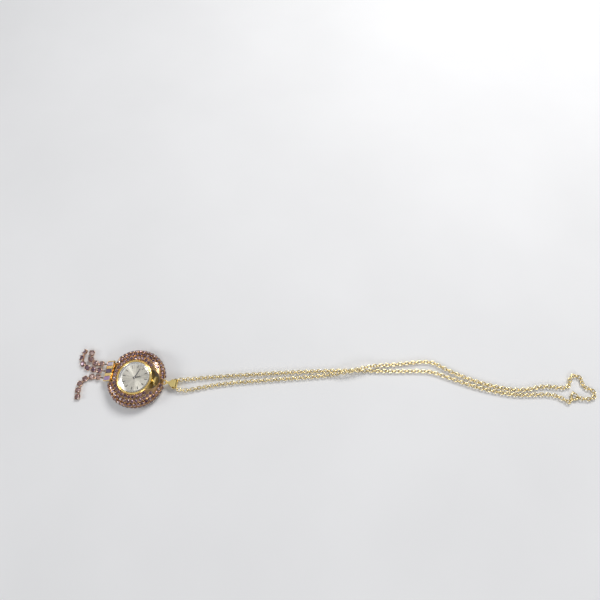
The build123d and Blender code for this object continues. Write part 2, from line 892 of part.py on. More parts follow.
def make_clasp_spring():
    # The little coil behind the bolt, wound along the ring's own curve
    start = bolt_end + spring_seat_degrees
    sweep_degrees = bore_end - bolt_tail_degrees - start
    steps = coil_steps * coil_turns
    points = []
    for step in range(steps + 1):
        share = step / steps
        wound = math.radians(360 * coil_turns * share)
        distance = clasp_radius + coil_radius * math.cos(wound)
        x, y = polar(distance, start + sweep_degrees * share, clasp_x, clasp_y)
        points.append((x, y, clasp_level + coil_radius * math.sin(wound)))
    wire = Spline(*points)
    return sweep(Plane(origin=wire @ 0, z_dir=wire % 0) * Circle(coil_wire), path=wire)


# Movement places
barrel_place = polar((barrel_teeth + centre_pinion_teeth) * barrel_module / 2, barrel_angle)
third_place = polar((centre_teeth + third_pinion_teeth) * centre_module / 2, third_angle)
fourth_place = polar((third_teeth + fourth_pinion_teeth) * third_module / 2, fourth_angle, *third_place)
escape_place = polar((fourth_teeth + escape_pinion_teeth) * fourth_module / 2, escape_angle, *fourth_place)
pallet_place = polar(pallet_distance, pallet_angle, *escape_place)
balance_place = (balance_x, balance_y)
crown_wheel_place = (crown_wheel_x, crown_wheel_y)
ratchet_module = 2 * math.dist(barrel_place, crown_wheel_place) / (ratchet_teeth + crown_wheel_teeth)
ratchet_tip = ratchet_module * (ratchet_teeth / 2 + tip_share)
click_place = polar(ratchet_tip + click_length, click_angle, *barrel_place)
click_spring_place = polar(click_length + click_length, click_angle + click_spring_degrees, *click_place)
minute_place = polar((minute_teeth + cannon_teeth) * motion_module / 2, minute_angle)
setting_place = polar((minute_teeth + setting_teeth) * motion_module / 2, setting_angle, *minute_place)
hour_module = motion_module * (minute_teeth + cannon_teeth) / (hour_teeth + minute_pinion_teeth)
lever_place = (lever_x, lever_y)
yoke_place = (yoke_x, yoke_y)
barrel_pillars = [polar(pillar_distance, 10), polar(pillar_distance, 150)]
train_pillars = [polar(pillar_distance, 185), polar(pillar_distance, 255)]
cock_pillar = polar(pillar_distance, 340)
pallet_foot = polar(pallet_foot_distance, pallet_foot_angle, *pallet_place)

cock_high = bridge_low + cock_thickness
hairspring_low = cock_high + running_gap
pallet_high = bridge_high + escape_level - running_gap - snug_gap
pallet_low = pallet_high - pallet_bridge_thickness
recess_level = plate_low + recess_floor
motion_low = recess_level + running_gap
setting_low = recess_level - setting_drop
lever_low = plate_high + snug_gap
hour_wheel_low = plate_high + hour_wheel_gap
peg_low = stem_level - stem_groove_core


# Each jewel: place, back level, dial level, bore
def jewel_seats():
    fine = pivot_radius + pivot_play
    seats = [((0, 0), bridge_high - jewel_thickness, bridge_high, fine)]
    for place in (third_place, fourth_place, escape_place):
        seats.append((place, bridge_high - jewel_thickness, bridge_high, fine))
    seats.append((balance_place, cock_high - jewel_thickness, cock_high, fine))
    seats.append((pallet_place, pallet_low, pallet_high, fine))
    for place in (third_place, fourth_place, escape_place, pallet_place, balance_place):
        seats.append((place, plate_low, plate_low + jewel_thickness, fine))
    seats.append(((0, 0), plate_low, plate_low + jewel_thickness, arbor_radius + pivot_play))
    return seats


def jewel_holes(low, high):
    return [drum(jewel_radius, base, top, *place) for place, base, top, bore in jewel_seats()
            if base >= low and top <= high]


# Each screw: place, level under its head, head radius, length of its shank
def screw_seats():
    seats = [(place, bridge_low, screw_head, screw_depth)
             for place in barrel_pillars + train_pillars + [cock_pillar]]
    wheel_clear = movement_low - snug_gap
    seats.append((crown_wheel_place, wheel_clear, crown_wheel_head, screw_depth - screw_head_height))
    seats.append((click_place, wheel_clear, screw_head, screw_depth - screw_head_height))
    seats.append((click_spring_place, movement_low, screw_head, screw_depth))
    return seats


def screw_holes():
    return [drum(screw_shank, level, level + depth, *place) for place, level, head, depth in screw_seats()]


def make_screws():
    screws = []
    for number, (place, level, head, depth) in enumerate(screw_seats()):
        screw = drum(head, level - screw_head_height, level, *place)
        screw += drum(screw_shank, level, level + depth, *place)
        slot = Box(2 * (head + overrun), screw_slot, screw_head_height)
        turned = Pos(*place, level - screw_head_height) * Rot(0, 0, screw_turn_degrees * number) * slot
        screws.append(screw - turned)
    return screws


def bridge_half(side, low, high):
    # The part of the back plate on one side of the slanted line between the bridges
    def edge(x):
        return x, split_offset + split_slope_share * x + side * split_gap / 2
    reach = side * plate_radius
    points = [edge(-plate_radius), edge(plate_radius), (plate_radius, reach), (-plate_radius, reach)]
    half = Pos(0, 0, low) * extrude(make_face(Polyline(*points, close=True).edges()), high - low)
    return drum(bridge_radius, low, high) & half


def make_barrel_bridge():
    body = bridge_half(1, bridge_low, bridge_high)
    for place in barrel_pillars:
        body += drum(pillar_radius, bridge_high, plate_low, *place)
    body += drum(crown_wheel_boss, movement_low - snug_gap, bridge_low, *crown_wheel_place)
    body += drum(click_radius - snug_gap - running_gap, movement_low - snug_gap, bridge_low, *click_place)
    body -= rod(pinion_radius + snug_gap, pinion_room_start, pinion_room_end)
    body -= drum(arbor_shaft + pivot_play, bridge_low - overrun, bridge_high + overrun, *barrel_place)
    return body - jewel_holes(bridge_low, bridge_high) - screw_holes()


def make_train_bridge():
    body = bridge_half(-1, bridge_low, bridge_high)
    body -= drum(balance_radius + balance_room, bridge_low - overrun, bridge_high + overrun, *balance_place)
    right = escape_place[0] + escape_radius
    body -= block(right, plate_radius + overrun, -plate_radius, plate_radius, bridge_low - overrun,
                  bridge_high + overrun)
    for place in train_pillars:
        body += drum(pillar_radius, bridge_high, plate_low, *place)
    return body - jewel_holes(bridge_low, bridge_high) - screw_holes()


def make_balance_cock():
    body = bar(balance_place, cock_pillar, cock_head_radius, cock_foot_radius, bridge_low, cock_high)
    body += drum(pillar_radius, cock_high, plate_low, *cock_pillar)
    body += drum(regulator_bore - pivot_play, bridge_low - regulator_thickness, bridge_low, *balance_place)
    return body - jewel_holes(bridge_low, cock_high) - screw_holes()


def make_pallet_bridge():
    head = jewel_radius + running_gap
    body = bar(pallet_place, pallet_foot, head, pallet_foot_radius, pallet_low, pallet_high)
    body += drum(pallet_foot_radius, pallet_high, plate_low, *pallet_foot)
    return body - jewel_holes(pallet_low, pallet_high)


pinion_room_end = winding_pinion_start + winding_pinion_length + running_gap


def make_mainplate():
    body = drum(plate_radius, plate_low, plate_high)
    body += tube(plate_radius, plate_radius - plate_wall, bridge_high, plate_low)
    rooms = [((0, 0), cannon_teeth, recess_level), (minute_place, minute_teeth, recess_level),
             (setting_place, setting_teeth, setting_low - snug_gap)]
    for place, teeth, floor in rooms:
        radius = motion_module * (teeth / 2 + tip_share) + running_gap
        body -= drum(radius, floor, plate_high + overrun, *place)
    body += drum(post_radius, recess_level, hour_wheel_low + motion_wheel_thickness, *minute_place)
    body += drum(post_radius, setting_low - snug_gap, setting_low + setting_height, *setting_place)
    for place in (lever_place, yoke_place):
        body += drum(post_radius, plate_high, lever_low + lever_thickness, *place)
    body -= rod(pinion_radius + snug_gap, pinion_room_start, pinion_room_end)
    body -= rod(stem_radius + snug_gap, pinion_room_end, plate_radius + overrun)
    swing = peg_radius + running_gap
    for x0, x1, y in ((lever_peg_x, lever_peg_x + crown_pull, lever_peg_y),
                      (yoke_peg_x - sliding_shift, yoke_peg_x, yoke_peg_y)):
        body -= block(x0 - swing, x1 + swing, y - swing, y + swing,
                      peg_low - running_gap, plate_high + overrun)
    body -= drum(arbor_foot + pivot_play, plate_low, plate_low + arbor_foot_length, *barrel_place)
    body -= drum(arbor_radius + pivot_play, plate_low, plate_high)
    return body - jewel_holes(plate_low, plate_high)


def make_jewels():
    return [tube(jewel_radius, bore, low, high, *place) for place, low, high, bore in jewel_seats()]


def train_wheel(place, level, wheel, wheel_turn, pinion, pinion_turn, pinion_low):
    # Wheel and pinion as one piece; the pinion ends under its wheel
    low = bridge_high + level
    levels = (low, bridge_high + pinion_low, low)
    return pinion_on_wheel(place, wheel, pinion, (wheel_turn, pinion_turn), levels)


def make_train():
    third_turn = meshing_turn(0, centre_teeth, (0, 0), third_pinion_teeth, third_place)
    fourth_turn = meshing_turn(third_turn, third_teeth, third_place, fourth_pinion_teeth, fourth_place)
    escape_turn = meshing_turn(fourth_turn, fourth_teeth, fourth_place, escape_pinion_teeth, escape_place)
    centre_turn = meshing_turn(0, barrel_teeth, barrel_place, centre_pinion_teeth, (0, 0))
    barrel_tooth_level = barrel_level + barrel_height
    centre_low = bridge_high + centre_level + train_wheel_thickness
    centre = pinion_on_wheel(
        (0, 0), (centre_teeth, centre_module), (centre_pinion_teeth, barrel_module), (0, centre_turn),
        (bridge_high + centre_level, centre_low, bridge_high + barrel_tooth_level))
    centre += drum(arbor_radius, plate_low - overrun, cannon_top - snug_gap)
    third = train_wheel(third_place, third_level, (third_teeth, third_module), third_turn,
                        (third_pinion_teeth, centre_module), third_turn, centre_level)
    fourth = train_wheel(fourth_place, fourth_level, (fourth_teeth, fourth_module), fourth_turn,
                         (fourth_pinion_teeth, third_module), fourth_turn, third_level)
    return centre, third, fourth, make_escape_wheel(escape_turn)


def make_escape_wheel(turn):
    low = bridge_high + escape_level
    points = []
    for tooth in range(escape_teeth):
        angle = 360 * tooth / escape_teeth
        points.append(polar(escape_radius, angle))
        points.append(polar(escape_radius * escape_heel_share, angle + escape_lean_degrees))
        points.append(polar(escape_root_radius, angle + escape_lean_degrees + escape_lean_degrees))
        points.append(polar(escape_root_radius, angle + 360 / escape_teeth - escape_lean_degrees / 2))
    rim = extrude(make_face(Polyline(*points, close=True).edges()), train_wheel_thickness)
    rim -= drum(escape_root_radius - escape_rim, -overrun, overrun + overrun)
    spokes = [Rot(0, 0, 45 + 90 * number) * Pos(escape_root_radius / 2, 0, train_wheel_thickness / 2) * Box(
        escape_root_radius, escape_rim, train_wheel_thickness) for number in range(4)]
    body = Pos(*escape_place, low) * (rim + spokes)
    body += toothed(escape_pinion_teeth, fourth_module, bridge_high + fourth_level,
                    low + train_wheel_thickness, *escape_place, turn)
    body += drum(arbor_radius, bridge_high + snug_gap, plate_low - snug_gap, *escape_place)
    return body + drum(pivot_radius, bridge_high - jewel_thickness + snug_gap,
                       plate_low + jewel_thickness - snug_gap, *escape_place)


def make_pallet_fork():
    low = bridge_high + escape_level
    high = low + train_wheel_thickness
    toward_escape = math.degrees(math.atan2(
        escape_place[1] - pallet_place[1], escape_place[0] - pallet_place[0]))
    toward_balance = math.degrees(math.atan2(
        balance_y - pallet_place[1], balance_x - pallet_place[0]))
    body = drum(pallet_hub, low, high, *pallet_place)
    for side in (-1, 1):
        stone = polar(pallet_distance, toward_escape + 180 + side * pallet_spread, *escape_place)
        body += bar(pallet_place, stone, pallet_arm, pallet_arm, low, high)
    balance_distance = math.dist(pallet_place, balance_place)
    fork_end = balance_distance - impulse_pin_distance - impulse_pin_radius - snug_gap - pallet_hub
    fork = bar((0, 0), (fork_end, 0), pallet_arm, pallet_hub, low, high)
    notch = impulse_pin_radius + snug_gap
    fork -= block(fork_end, fork_end + overrun, -notch, notch, low - overrun, high + overrun)
    body += Pos(*pallet_place) * Rot(0, 0, toward_balance) * fork
    body += drum(arbor_radius, pallet_high + snug_gap, plate_low - snug_gap, *pallet_place)
    return body + drum(pivot_radius, pallet_low + snug_gap,
                       plate_low + jewel_thickness - snug_gap, *pallet_place)


def make_balance():
    low = bridge_high + balance_level
    high = low + balance_thickness
    body = tube(balance_radius, balance_radius - balance_rim, low, high)
    body += block(-balance_radius + balance_rim / 2, balance_radius - balance_rim / 2,
                  -balance_rim / 2, balance_rim / 2, low, high)
    roller_low = bridge_high + roller_level
    roller_high = roller_low + roller_thickness
    toward_pallet = math.degrees(math.atan2(
        pallet_place[1] - balance_y, pallet_place[0] - balance_x))
    body += drum(roller_radius, roller_low, roller_high)
    body += drum(impulse_pin_radius, roller_high, bridge_high + escape_level + train_wheel_thickness,
                 *polar(impulse_pin_distance, toward_pallet))
    body += drum(arbor_radius, cock_high + snug_gap, plate_low - snug_gap)
    body += drum(pivot_radius, cock_high - jewel_thickness + snug_gap, plate_low + jewel_thickness - snug_gap)
    body += drum(hairspring_inner - hairspring_strip / 2, hairspring_low, hairspring_low + hairspring_height)
    return Pos(balance_x, balance_y, 0) * body


def make_hairspring():
    return coil_strip(hairspring_inner, hairspring_step, hairspring_strip, hairspring_halves, hairspring_low,
                      hairspring_low + hairspring_height, *balance_place)


def make_regulator():
    low = bridge_low - regulator_thickness
    body = tube(regulator_radius, regulator_bore, low, bridge_low)
    body += bar((-regulator_radius, 0), (-regulator_length, 0), regulator_arm, regulator_arm / 2,
                low, bridge_low - snug_gap)
    body += drum(regulator_arm / 2, low, hairspring_low + hairspring_height, -regulator_pin, 0)
    body -= drum(regulator_bore, low - overrun, bridge_low + overrun)
    return Pos(balance_x, balance_y, 0) * body


def make_barrel():
    low = bridge_high + barrel_level
    high = low + barrel_height
    wall = barrel_module * (barrel_teeth / 2 - root_share) - barrel_shell
    teeth = toothed(barrel_teeth, barrel_module, high - barrel_flange, high, *barrel_place, 0)
    shell = tube(wall, wall - barrel_shell, low, high - barrel_flange, *barrel_place)
    hole = arbor_shaft + pivot_play
    drum_ = teeth + shell - drum(hole, low - overrun, high + overrun, *barrel_place)
    cover_radius = wall - barrel_shell
    cover = tube(cover_radius, hole, low, low + train_wheel_thickness, *barrel_place)
    return drum_, cover


def make_barrel_arbor():
    inside_low = bridge_high + barrel_level + train_wheel_thickness + snug_gap
    inside_high = bridge_high + barrel_level + barrel_height - barrel_flange - snug_gap
    body = drum(arbor_core, inside_low, inside_high, *barrel_place)
    body += drum(arbor_shaft, movement_low, plate_low - snug_gap, *barrel_place)
    body += drum(arbor_foot, plate_low - overrun, plate_low + arbor_foot_length - snug_gap, *barrel_place)
    head = drum(arbor_head, movement_low - screw_head_height, movement_low, *barrel_place)
    head -= Pos(*barrel_place, movement_low - screw_head_height) * Box(
        2 * (arbor_head + overrun), screw_slot, screw_head_height)
    return body, head


def make_mainspring():
    low = bridge_high + barrel_level + train_wheel_thickness + running_gap
    high = bridge_high + barrel_level + barrel_height - barrel_flange - running_gap
    return coil_strip(mainspring_inner, mainspring_step, mainspring_strip, mainspring_halves, low, high,
                      *barrel_place)


def make_ratchet_wheel():
    wheel = toothed(ratchet_teeth, ratchet_module, movement_low, movement_low + winding_wheel_thickness,
                    *barrel_place, 0)
    return wheel - drum(arbor_shaft, movement_low - overrun, bridge_low, *barrel_place)


def make_crown_wheel():
    turn = meshing_turn(0, ratchet_teeth, barrel_place, crown_wheel_teeth, crown_wheel_place)
    wheel = toothed(crown_wheel_teeth, ratchet_module, movement_low,
                    movement_low + winding_wheel_thickness, *crown_wheel_place, turn)
    return wheel - drum(crown_wheel_boss + pivot_play, movement_low - overrun, bridge_low, *crown_wheel_place)


def make_click():
    high = bridge_low - running_gap
    nose = polar(ratchet_tip + snug_gap + click_nose_radius, click_angle, *barrel_place)
    body = bar(click_place, nose, click_radius, click_nose_radius, movement_low, high)
    post = click_radius - running_gap
    return body - drum(post, movement_low - overrun, high + overrun, *click_place)


def make_click_spring():
    high = bridge_low - running_gap
    body = drum(click_radius, movement_low, bridge_low, *click_spring_place)
    nose_x, nose_y = polar(
        ratchet_tip + snug_gap + click_nose_radius + click_spring_reach, click_angle, *barrel_place)
    tip = (nose_x, nose_y - click_radius + click_nose_radius / 2 - snug_gap)
    body += bar(click_spring_place, tip, click_leaf, click_leaf, high - 2 * click_leaf, high)
    return body - screw_holes()


def across_stem(start, shape):
    # Lays a shape that was drawn round Z along the stem, from start
    return Pos(start, 0, stem_level) * Rot(0, 90, 0) * shape


def make_stem_pinion(start, length):
    module = pinion_radius / (pinion_teeth / 2 + tip_share)
    wheel = toothed(pinion_teeth, module, 0, length, 0, 0, 0)
    return across_stem(start, wheel - drum(stem_radius + snug_gap, -overrun, length + overrun))


def make_sliding_pinion():
    pinion = make_stem_pinion(sliding_pinion_start, sliding_pinion_length)
    groove = sliding_pinion_start + groove_start
    end = groove + groove_width
    ring = rod(pinion_radius + overrun, groove, end)
    return pinion - (ring - rod(pinion_radius - groove_depth, groove - overrun, end + overrun))


def make_stem():
    stem = rod(stem_radius, stem_inner_x, crown_start + crown_length / 2)
    end = stem_groove_x + stem_groove_width
    ring = rod(stem_radius + overrun, stem_groove_x, end)
    return stem - (ring - rod(stem_groove_core, stem_groove_x - overrun, end + overrun))


def make_crown():
    inner, outer = crown_radius - crown_chamfer, crown_radius
    middle = crown_length / 2
    body = spun_outline([
        (stem_radius, crown_recess), (crown_recess_radius, crown_recess), (crown_recess_radius, 0),
        (inner, 0), (outer, crown_chamfer), (outer, crown_length - crown_chamfer), (inner, crown_length),
        (0, crown_length), (0, middle), (stem_radius, middle)])
    for number in range(crown_flutes):
        x, y = polar(crown_radius, 360 * number / crown_flutes)
        body -= drum(crown_flute_radius, -overrun, crown_length + overrun, x, y)
    return across_stem(crown_start, body)


def make_crown_tube():
    start = plate_radius + running_gap
    end = band_radius + tube_reach
    return rod(tube_radius, start, end) - rod(tube_bore, start - overrun, end + overrun)


def make_peg_arm(pivot, peg):
    high = lever_low + lever_thickness
    body = bar(pivot, peg, lever_half_width, peg_radius + snug_gap, lever_low, high)
    body += drum(peg_radius, peg_low, lever_low, *peg)
    return body - drum(post_radius + pivot_play, lever_low - overrun, high + overrun, *pivot)


def motion_wheel(teeth, module, low, high, place, turn, bore):
    wheel = toothed(teeth, module, low, high, *place, turn)
    return wheel - drum(bore, low - overrun, high + overrun, *place)


def make_motion_works():
    minute_turn = meshing_turn(0, cannon_teeth, (0, 0), minute_teeth, minute_place)
    setting_turn = meshing_turn(minute_turn, minute_teeth, minute_place, setting_teeth, setting_place)
    hour_turn = meshing_turn(minute_turn, minute_pinion_teeth, minute_place, hour_teeth, (0, 0))
    wheel_high = motion_low + motion_wheel_thickness
    cannon = toothed(cannon_teeth, motion_module, motion_low - snug_gap, wheel_high + snug_gap, 0, 0, 0)
    cannon += drum(cannon_radius, motion_low - snug_gap, cannon_top)
    cannon -= drum(arbor_radius, motion_low - overrun, cannon_top + overrun)
    bore = post_radius + pivot_play
    minute = toothed(minute_teeth, motion_module, motion_low, wheel_high, *minute_place, minute_turn)
    minute += toothed(minute_pinion_teeth, hour_module, wheel_high, hour_wheel_low + motion_wheel_thickness,
                      *minute_place, minute_turn)
    minute -= drum(bore, motion_low - overrun, hour_wheel_low + overrun, *minute_place)
    setting = motion_wheel(setting_teeth, motion_module, setting_low, setting_low + setting_height,
                           setting_place, setting_turn, bore)
    hour_wheel_high = hour_wheel_low + motion_wheel_thickness
    hour = toothed(hour_teeth, hour_module, hour_wheel_low, hour_wheel_high, 0, 0, hour_turn)
    hour += drum(hour_tube_radius, hour_wheel_low, hour_tube_top)
    hour -= drum(cannon_radius + pivot_play, hour_wheel_low - overrun, hour_tube_top + overrun)
    return cannon, minute, setting, hour


def make_hand(length, width, bore, high, angle):
    tail, tip = hand_tail, width * hand_tip_share
    waist = length * hand_waist_share
    outline = [(-tail, -width * hand_waist_share), (waist, -width / 2), (length, -tip), (length, tip),
               (waist, width / 2), (-tail, width * hand_waist_share)]
    hand = extrude(make_face(Polyline(*outline, close=True).edges()), hand_thickness)
    hand += drum(hand_hub_radius, 0, hand_thickness)
    hand -= drum(bore, -overrun, overrun)
    return Pos(0, 0, high - hand_thickness) * Rot(0, 0, angle) * hand


# Tassel strands
strand_height = strand_claw_height + strand_claw_radius


def strand_frames(points, rolls):
    line = route_line(points)
    places = [0]
    reach = strand_first
    while reach + strand_cup_radius < line.length:
        places.append(reach)
        reach += strand_pitch
    frames = []
    for number, place in enumerate(places):
        roll = rolls[0] + (rolls[1] - rolls[0]) * number / (len(places) - 1)
        along = line.tangent_at(place, position_mode=PositionMode.LENGTH)
        frames.append(seat_frame(at_length(line, place), along, roll))
    return frames


def make_strand(points, rolls):
    frames = strand_frames(points, rolls)
    sink = Pos(0, 0, -strand_height / 2)
    cup = sink * make_claw_cup(strand_cup_radius, strand_cup_wall, strand_cup_wall, strand_cup_height,
                               strand_claw_radius, strand_claw_height)
    stone = sink * make_stone(
        strand_stone_radius, strand_stone_radius * stone_table_radius / stone_radius, strand_stone_crown,
        strand_stone_girdle, strand_stone_pavilion, strand_cup_wall)
    room = sink * drum(strand_cup_radius, 0, strand_cup_height)
    pieces = []
    for number, frame in enumerate(frames[1:]):
        before = frames[number]
        pieces.append(frame * cup)
        pieces.append(frame * stone)
        start, end = before.position, frame.position
        roll = rolls[0] + (rolls[1] - rolls[0]) * number / (len(frames) - 1)
        link = link_frame(start, end, roll) * Pos(0, 0, -strand_bar_drop) * Box(
            (end - start).length, strand_bar_width, strand_bar_thickness)
        link -= frame * room
        if number:
            link -= before * room
        pieces.append(link.solids().sort_by(SortBy.VOLUME)[-1])
    return pieces


# Everything, one file for each kind of piece
os.makedirs("parts", exist_ok=True)
write("case_back", make_case_back())
write("case_band", make_case_band())
write("bezel", make_bezel())
write("crystal", make_crystal())
write("rehaut", make_rehaut())
dial_plate, dial_markers = make_dial()
write("dial", dial_plate, *dial_markers)
write("movement_ring", make_movement_ring())
write("crown_tube", make_crown_tube())

write("stone_frame", make_stone_frame())
stone = make_stone(stone_radius, stone_table_radius, stone_crown, stone_girdle, stone_pavilion, cup_floor)
cup = make_claw_cup(cup_radius, cup_wall, cup_floor, cup_height, claw_radius, claw_height)
seats = stone_seats()
write("stone_claws", *[seat * cup for kind, seat in seats])
write("upper_stones", *[seat * stone for kind, seat in seats if kind == "upper"])
write("rim_stones", *[seat * stone for kind, seat in seats if kind == "rim"])
write("tassel_hanger", make_hanger())
write("hanger_stones", *make_long_stones())
for name, points in strand_routes.items():
    write(name, *make_strand(points, strand_rolls[name]))

write("pendant_loop", make_pendant_loop())
write("bail", make_bail())
write("chain_bail_links", *make_bail_links())
chains = {"chain_upper_strand": upper_route, "chain_lower_strand": lower_route}
for name, points in chains.items():
    links, line, joints, gap = chain_along(points, 90)
    write(name, *links)
    print(name, "length", round(line.length, 1), "links", len(links),
          "least corner radius", round(min(corner_radii(points)), 1), "least gap", round(gap, 3))
write("clasp_ring", make_clasp_ring())
write("clasp_trigger", make_clasp_bolt())
write("clasp_spring", make_clasp_spring())
write("clasp_rings", *make_clasp_rings())

write("mainplate", make_mainplate())
write("barrel_bridge", make_barrel_bridge())
write("train_bridge", make_train_bridge())
write("balance_cock", make_balance_cock())
write("pallet_bridge", make_pallet_bridge())
write("jewels", *make_jewels())
write("movement_screws", *make_screws())
centre, third, fourth, escape = make_train()
write("centre_wheel", centre)
write("third_wheel", third)
write("fourth_wheel", fourth)
write("escape_wheel", escape)
write("pallet_fork", make_pallet_fork())
write("balance_wheel", make_balance())
write("hairspring", make_hairspring())
write("regulator", make_regulator())
write("barrel_drum", *make_barrel())
write("barrel_arbor", *make_barrel_arbor())
write("mainspring", make_mainspring())
write("ratchet_wheel", make_ratchet_wheel())
write("crown_wheel", make_crown_wheel())
write("click", make_click())
write("click_spring", make_click_spring())
write("winding_pinion", make_stem_pinion(winding_pinion_start, winding_pinion_length))
write("sliding_pinion", make_sliding_pinion())
write("winding_stem", make_stem())
write("crown", make_crown())
write("setting_lever", make_peg_arm(lever_place, (lever_peg_x, lever_peg_y)))
write("yoke", make_peg_arm(yoke_place, (yoke_peg_x, yoke_peg_y)))
cannon, minute, setting, hour = make_motion_works()
write("cannon_pinion", cannon)
write("minute_wheel", minute)
write("setting_wheel", setting)
write("hour_wheel", hour)
minute_angle_shown = dial_twelve - 6 * minute_shown
hour_angle_shown = dial_twelve - 30 * (hour_shown + minute_shown / 60)
write("minute_hand", make_hand(
    minute_hand_length, minute_hand_width, cannon_radius, cannon_top, minute_angle_shown))
write("hour_hand", make_hand(
    hour_hand_length, hour_hand_width, hour_tube_radius, hour_tube_top, hour_angle_shown))
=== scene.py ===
import bmesh
import bpy
import math
from mathutils import Matrix, Vector


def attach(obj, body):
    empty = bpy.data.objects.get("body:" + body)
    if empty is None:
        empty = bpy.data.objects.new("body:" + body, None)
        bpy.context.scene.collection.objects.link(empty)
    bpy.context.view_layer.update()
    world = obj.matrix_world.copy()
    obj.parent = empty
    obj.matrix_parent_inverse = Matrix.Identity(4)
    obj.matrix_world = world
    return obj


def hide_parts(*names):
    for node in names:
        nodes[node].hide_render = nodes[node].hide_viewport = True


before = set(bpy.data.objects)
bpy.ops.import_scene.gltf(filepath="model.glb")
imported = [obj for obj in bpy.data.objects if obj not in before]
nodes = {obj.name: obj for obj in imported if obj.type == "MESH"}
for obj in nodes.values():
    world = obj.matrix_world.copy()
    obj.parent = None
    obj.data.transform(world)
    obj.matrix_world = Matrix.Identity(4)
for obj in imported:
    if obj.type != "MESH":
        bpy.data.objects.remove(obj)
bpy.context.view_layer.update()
mm = 0.001

# Camera
cameraView = {
    "place": (0.1146, -0.0476, 0.298), "turn": (21.8, 0.0, 7.5), "lens": 27.06, "sensor": 36.0,
    "nearest": 0.01}


def makeCamera():
    data = bpy.data.cameras.new("view")
    data.lens = cameraView["lens"]
    data.sensor_width = cameraView["sensor"]
    data.clip_start = cameraView["nearest"]
    camera = bpy.data.objects.new("view", data)
    camera.location = cameraView["place"]
    camera.rotation_euler = [math.radians(degrees) for degrees in cameraView["turn"]]
    bpy.context.collection.objects.link(camera)
    bpy.context.scene.camera = camera


makeCamera()
bpy.context.scene.view_settings.view_transform = "Standard"


# Mesh helpers
def meshPiece(name, shape, smooth=False):
    mesh = bpy.data.meshes.new(name)
    bmesh.ops.recalc_face_normals(shape, faces=shape.faces)
    shape.to_mesh(mesh)
    shape.free()
    if smooth:
        mesh.shade_smooth()
    piece = bpy.data.objects.new(name, mesh)
    bpy.context.collection.objects.link(piece)
    return piece


def addRings(shape, place, rings, loop=False):
    # Joins rings of points, all of one length, into a skin that runs round or is closed at its ends
    made = [[shape.verts.new(place @ Vector(point)) for point in ring] for ring in rings]
    pairs = list(zip(made, made[1:]))
    if loop:
        pairs.append((made[-1], made[0]))
    for low, high in pairs:
        count = len(low)
        for number in range(count):
            after = (number + 1) % count
            shape.faces.new((low[number], low[after], high[after], high[number]))
    if not loop:
        shape.faces.new(made[0])
        shape.faces.new(made[-1])


def circleRing(radius, level, sides, turn=0.0):
    return [(radius * math.cos(turn + 2 * math.pi * side / sides),
             radius * math.sin(turn + 2 * math.pi * side / sides), level) for side in range(sides)]


def addTurned(shape, place, profile, sides):
    # A turned form from radius and level in mm, from its foot over the rim and down inside
    addRings(shape, place, [circleRing(radius * mm, level * mm, sides) for radius, level in profile])


def seatMatrix(point, along, roll):
    # A place on a line: X along it, turned about it by roll degrees
    along = along.normalized()
    side = Vector((0, 0, 1)).cross(along).normalized()
    up = along.cross(side)
    turn = math.radians(roll)
    normal = up * math.cos(turn) + side * math.sin(turn)
    across = normal.cross(along)
    return Matrix((
        (along.x, across.x, normal.x, point.x), (along.y, across.y, normal.y, point.y),
        (along.z, across.z, normal.z, point.z), (0, 0, 0, 1)))


# Lines that the chain and the tassel follow
lineFacts = {"steps": 16, "order": 3}


def splineLine(name, points):
    curve = bpy.data.curves.new(name, "CURVE")
    curve.dimensions = "3D"
    curve.resolution_u = lineFacts["steps"]
    spline = curve.splines.new("NURBS")
    spline.points.add(len(points) - 1)
    for number, point in enumerate(points):
        spline.points[number].co = (*point, 1.0)
    spline.order_u = lineFacts["order"]
    spline.use_endpoint_u = True
    guide = bpy.data.objects.new(name, curve)
    bpy.context.collection.objects.link(guide)
    bpy.context.view_layer.update()
    mesh = bpy.data.meshes.new_from_object(guide)
    line = [vertex.co.copy() for vertex in mesh.vertices]
    bpy.data.objects.remove(guide)
    bpy.data.meshes.remove(mesh)
    return line


def lineLength(line):
    return sum((after - before).length for before, after in zip(line, line[1:]))


def pointAt(line, distance):
    # The point at a distance along the line, and the line's direction there
    for before, after in zip(line, line[1:]):
        step = (after - before).length
        if distance <= step and step > 0:
            return before.lerp(after, distance / step), after - before
        distance -= step
    return line[-1].copy(), line[-1] - line[-2]


